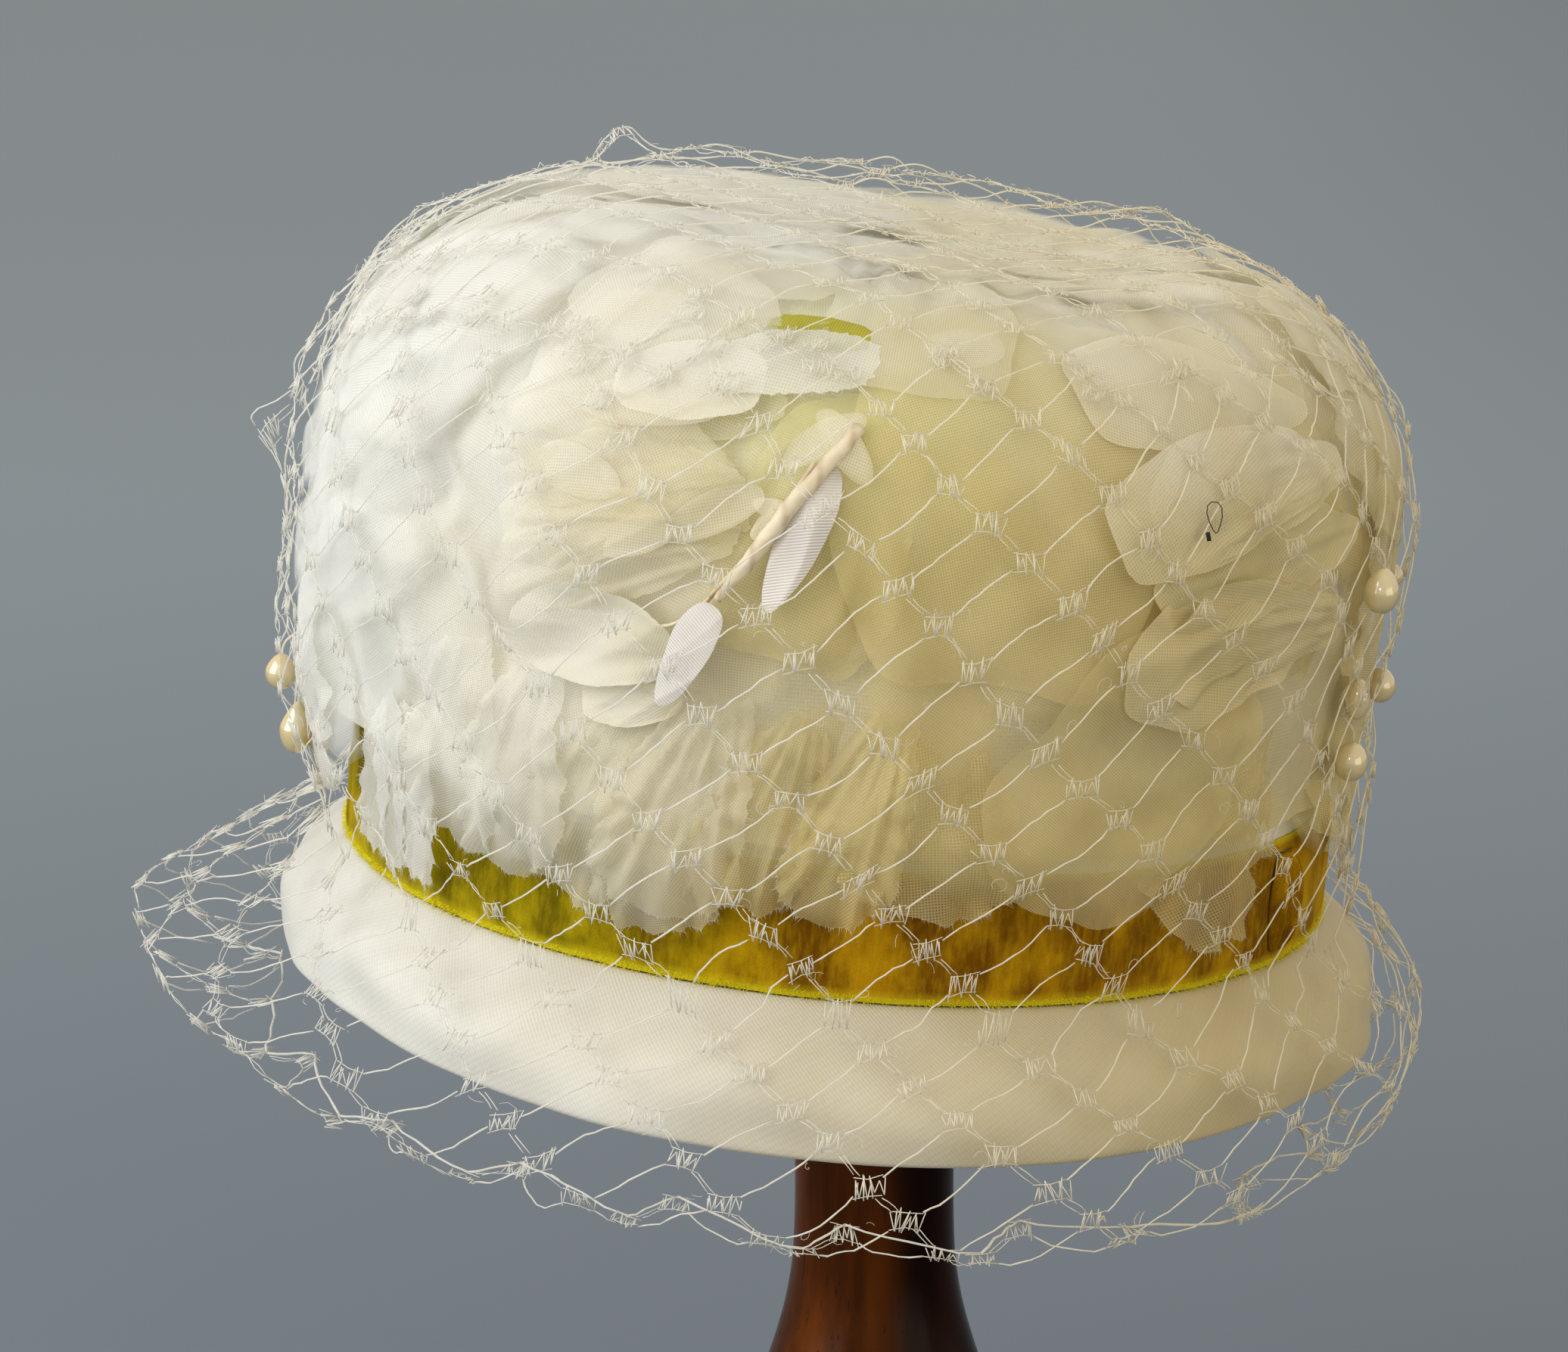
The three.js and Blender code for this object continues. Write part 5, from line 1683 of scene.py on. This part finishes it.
def drift(points, out, seed):
    """A soft random shift of every thread; where it would go into the petals it is cut to a third."""
    shift = np.zeros_like(points)
    for size, depth in DRIFT_SIZES:
        for axis in range(3):
            shift[..., axis] += depth * swell(points, size, seed + 10 * axis + int(size))
    inward = np.minimum((shift * out).sum(-1, keepdims=True), 0)
    return shift - out * inward * DRIFT_INWARD


def on_net(across, run, off=0.0, seed=1):
    """Carries flat net places, in millimetres round and down, onto the hat and off it by a distance."""
    around = across * 360.0 / NET_ROUND
    run = np.maximum(run, 0.6)
    here = veil_point(around, run)
    turn_step = FLAT_STEP * 360.0 / NET_ROUND
    round_way = veil_point(around + turn_step, run) - veil_point(around - turn_step, run)
    down_way = veil_point(around, run + FLAT_STEP) - veil_point(around, run - FLAT_STEP)
    out = unit(np.cross(down_way, round_way) + np.array([0, 0, 1e-6]))
    rise = np.zeros(here.shape[:-1])
    for place, width, height in LOOSE_PLACES:
        rise += height * np.exp(-((np.linalg.norm(here - np.array(place), axis=-1) / width) ** 2))
    return here + drift(here, out, seed) + out * (rise + off)[..., None], out


print("loose places:", len(LOOSE_PLACES))

# %% [markdown]
# ## The lattice of knots
# Two steps repeat all over the net: one up to the right, along a single thread, and one down to the right,
# along a pair. Their whole-number sums are all the knots. Twenty-three steps up and forty-five down bring
# the net back to its own height, so it closes round the hat. The crown's top has its own flat piece, which
# overlaps the sides, because a net laid straight over a crown keeps its slant there.

# %% Flat lattice
STEP_UP = np.array([15.1, -12.5])
UPS_ROUND = 23
DOWNS_ROUND = 45
STEP_DOWN = np.array([7.1, 12.5 * UPS_ROUND / DOWNS_ROUND])
NET_ROUND = UPS_ROUND * STEP_UP[0] + DOWNS_ROUND * STEP_DOWN[0]
MOST_UP = 80
MOST_DOWN = 160
SIDES_FROM = 88.0
TOP_REACH = 98.0
TOP_OVERLAP = 45.0
HEM_SWING = 4.0


def over_top(x, y, off=0.0):
    """Carries a flat place about the crown's top: its angle is kept, and its distance is the run."""
    around = np.degrees(np.arctan2(x, y))
    return on_net(around * NET_ROUND / 360.0, np.hypot(x, y), off, 2)


def hem_run(across):
    """The hem waves a little up and down along its way round."""
    turns = across / NET_ROUND * 2 * math.pi
    return skirt_run[-1] + HEM_SWING * np.sin(7 * turns) * np.sin(3 * turns)


def top_reach(x, y):
    """How far the crown's own piece of net reaches from the top: further on the left, where it overlaps."""
    left = np.clip(-x / np.maximum(np.hypot(x, y), 1.0), 0, 1)
    front = np.clip(y / np.maximum(np.hypot(x, y), 1.0), 0, 1)
    return TOP_REACH + TOP_OVERLAP * left**2 * (0.4 + 0.6 * front)


def lattice():
    """All whole-number sums of the two steps, about the origin."""
    ups, downs = np.arange(-MOST_UP, MOST_UP), np.arange(-MOST_DOWN, MOST_DOWN)
    i, j = np.meshgrid(ups, downs, indexing="ij")
    return (i[..., None] * STEP_UP + j[..., None] * STEP_DOWN).reshape(-1, 2)


def side_net(spots):
    """Which flat places are on the sides' net: one turn round, from the shoulder down to the hem."""
    across, down = spots[:, 0], spots[:, 1]
    return (across >= 0) & (across < NET_ROUND) & (down > SIDES_FROM) & (down < hem_run(across))


def top_net(spots):
    """Which flat places are on the top's net: those within its reach."""
    return np.hypot(spots[:, 0], spots[:, 1]) < top_reach(spots[:, 0], spots[:, 1])


print("net, mm round at its widest:", round(NET_ROUND))

# %% [markdown]
# ## Threads and knots
# Every thread is a tube with four sides, which is enough for something a third of a millimetre thick. It
# sways to one side on its way, as an arc, and no two are alike. A knot is two rails with one fine thread
# wound up and down between them, and each knot is a little slanted, long or short.

# %% Threads and ladders of the net
LADDER_HALF_WIDTH = 2.55
LADDER_HALF_HEIGHT = 1.75
LADDER_TURNS = 14
LOOP_RADIUS = 0.09
RAIL_RADIUS = 0.085


def strand(carry, start, stop, steps, radius, sides, seed, sway):
    """Tubes between flat places; each sways a little to one side on the way, as an arc."""
    rng = np.random.default_rng(seed)
    share = np.linspace(0, 1, steps)[None, :, None]
    flat = start[:, None] * (1 - share) + stop[:, None] * share
    bow = rng.normal(0, sway, (len(start), 1, 2)) * np.sin(share * math.pi)
    wriggle = rng.normal(0, sway * 0.25, flat.shape) * (share > 0) * (share < 1)
    flat = flat + bow + wriggle
    off = rng.normal(0, 0.35, (len(start), 1)) * np.sin(share[..., 0] * math.pi)
    points, out = carry(flat[..., 0], flat[..., 1], off)
    thick = radius * rng.uniform(0.85, 1.2, points.shape[:2])
    return tubes(points, thick, sides, out)


def ladders(carry, knots, seed):
    """Each knot is two rails and, between them, a fine thread that runs up and down seven times."""
    rng = np.random.default_rng(seed)
    count = len(knots)
    turns = np.arange(LADDER_TURNS + 1)
    bends = (count, LADDER_TURNS + 1)
    x = (turns / LADDER_TURNS * 2 - 1) * LADDER_HALF_WIDTH * 0.95 + rng.normal(0, 0.4, bends)
    y = np.where(turns % 2 == 0, -1.0, 1.0) * LADDER_HALF_HEIGHT * rng.uniform(0.45, 1.4, bends)
    slant = rng.normal(0.12, 0.26, (count, 1))
    points, out = carry(knots[:, :1] + x, knots[:, 1:] + y - slant * x, rng.normal(0.25, 0.3, bends))
    legs = np.stack([points[:, :-1], points[:, 1:]], 2).reshape(-1, 2, 3)
    upright = np.stack([out[:, :-1], out[:, 1:]], 2).reshape(-1, 2, 3)
    parts = [tubes(legs, LOOP_RADIUS, 4, upright)]
    for side in (-1.0, 1.0):
        rail = np.array([-1.0, 0.0, 1.0])
        x = rail * LADDER_HALF_WIDTH * np.ones((count, 1))
        y = side * (LADDER_HALF_HEIGHT - 0.35 * (1 - rail**2)) - slant * x
        points, out = carry(knots[:, :1] + x, knots[:, 1:] + y)
        parts.append(tubes(points, RAIL_RADIUS, 4, out))
    return parts


print("tubes in one knot:", LADDER_TURNS + 2)

# %% [markdown]
# ## Net, hem and broken fibres
# From each knot one thread runs up to the right and a pair runs down to the right, as far as the piece of
# net covers. A heavier thread gathers the lowest knots into scallops, and broken fibres curl out of the
# knots.

# %% Net, hem and hairs
LONG_STEPS = 8
SHORT_STEPS = 4
PAIR_APART = 1.15
THREAD_RADIUS = 0.155
PAIR_RADIUS = 0.085
HEM_RADIUS = 0.24
STRAY_HAIRS = 700
STRAY_RADIUS = 0.05


def net(carry, covers, shift, seed):
    """Ladders at the knots, one thread up to the right of each, and a pair down to the right."""
    knots = lattice() + np.array(shift)
    knots = knots[covers(knots)]
    corner = np.array([LADDER_HALF_WIDTH, LADDER_HALF_HEIGHT])
    upper = knots[covers(knots + STEP_UP - (STEP_UP[0], 0))]
    first, last = upper + corner * (1, -1), upper + STEP_UP + corner * (-1, 1)
    rising = strand(carry, first, last, LONG_STEPS, THREAD_RADIUS, 4, seed, 0.35)
    lower = knots[covers(knots + STEP_DOWN - (STEP_DOWN[0], 0))]
    falling = []
    for number, apart in enumerate((0.0, PAIR_APART)):
        first, last = lower + corner - (apart, 0), lower + STEP_DOWN - corner + (PAIR_APART - apart, 0)
        falling.append(strand(carry, first, last, SHORT_STEPS, PAIR_RADIUS, 4, seed + 1 + number, 0.2))
    return [rising, *falling], ladders(carry, knots, seed + 5), knots


def hem_thread(knots, seed):
    """A heavier thread through the lowest knots, which pulls them into closed scallops."""
    low = knots[:, 1] - STEP_UP[1] >= hem_run(knots[:, 0] - STEP_UP[0])
    edge = knots[low]
    edge = edge[np.argsort(edge[:, 0])] + (0, LADDER_HALF_HEIGHT)
    following = np.concatenate([edge[1:], edge[:1] + (NET_ROUND, 0)])
    return strand(on_net, edge, following, 7, HEM_RADIUS, 4, seed, 0.5)


def stray_hairs(carry, knots, count, seed):
    """Fine broken fibres that curl out of the knots: short arcs that turn more than half round."""
    rng = np.random.default_rng(seed)
    pick = knots[rng.integers(0, len(knots), count)] + rng.normal(0, 3.0, (count, 2))
    share = np.linspace(0, 1, 7)[None, :]
    turn = rng.uniform(0, 2 * math.pi, (count, 1)) + share * rng.normal(0, 4.0, (count, 1))
    size = rng.gamma(3.0, 0.32, (count, 1))
    x = pick[:, :1] + size * (np.cos(turn) + share * rng.normal(0, 1, (count, 1)))
    y = pick[:, 1:] + size * (np.sin(turn) + share * rng.normal(0, 1, (count, 1)))
    points, out = carry(x, y, share * rng.gamma(2.0, 0.3, (count, 1)))
    return tubes(points, STRAY_RADIUS, 3, out)


NET_THREAD = thread("net_thread", (0.99, 0.98, 0.94), (0.96, 0.90, 0.73))
side_strands, side_ladders, side_knots = net(on_net, side_net, (0.0, 0.0), 41)
top_strands, top_ladders, top_knots = net(over_top, top_net, (3.0, 4.0), 61)
hairs = [stray_hairs(on_net, side_knots, STRAY_HAIRS, 52), stray_hairs(over_top, top_knots, STRAY_HAIRS, 53)]
NET_PIECES = {
    "net_strands": (side_strands, ["veil"]),
    "net_ladders": (side_ladders, ["veil"]),
    "net_hem": ([hem_thread(side_knots, 51)], ["veil"]),
    "net_top": (top_strands + top_ladders, ["veil"]),
    "net_hairs": (hairs, []),
}
for name, (parts, nodes) in NET_PIECES.items():
    points, faces = gathered(parts)
    dress(hat_piece(name, points, faces), NET_THREAD, "net", *nodes)
    print(name, "points:", len(points))
print("knots:", len(side_knots) + len(top_knots))
print("net's flat size, mm:", round(NET_ROUND), "by", round(skirt_run[-1]))

# %% [markdown] ## Sizes, and the end The frame's box and the finished box are printed side by side.

# %% Print the sizes
sizes = {"cad": [list(corner) for corner in cad_box], "visual": [list(corner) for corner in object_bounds()]}
print("boxes, metres:", {name: np.round(box, 3).tolist() for name, box in sizes.items()})
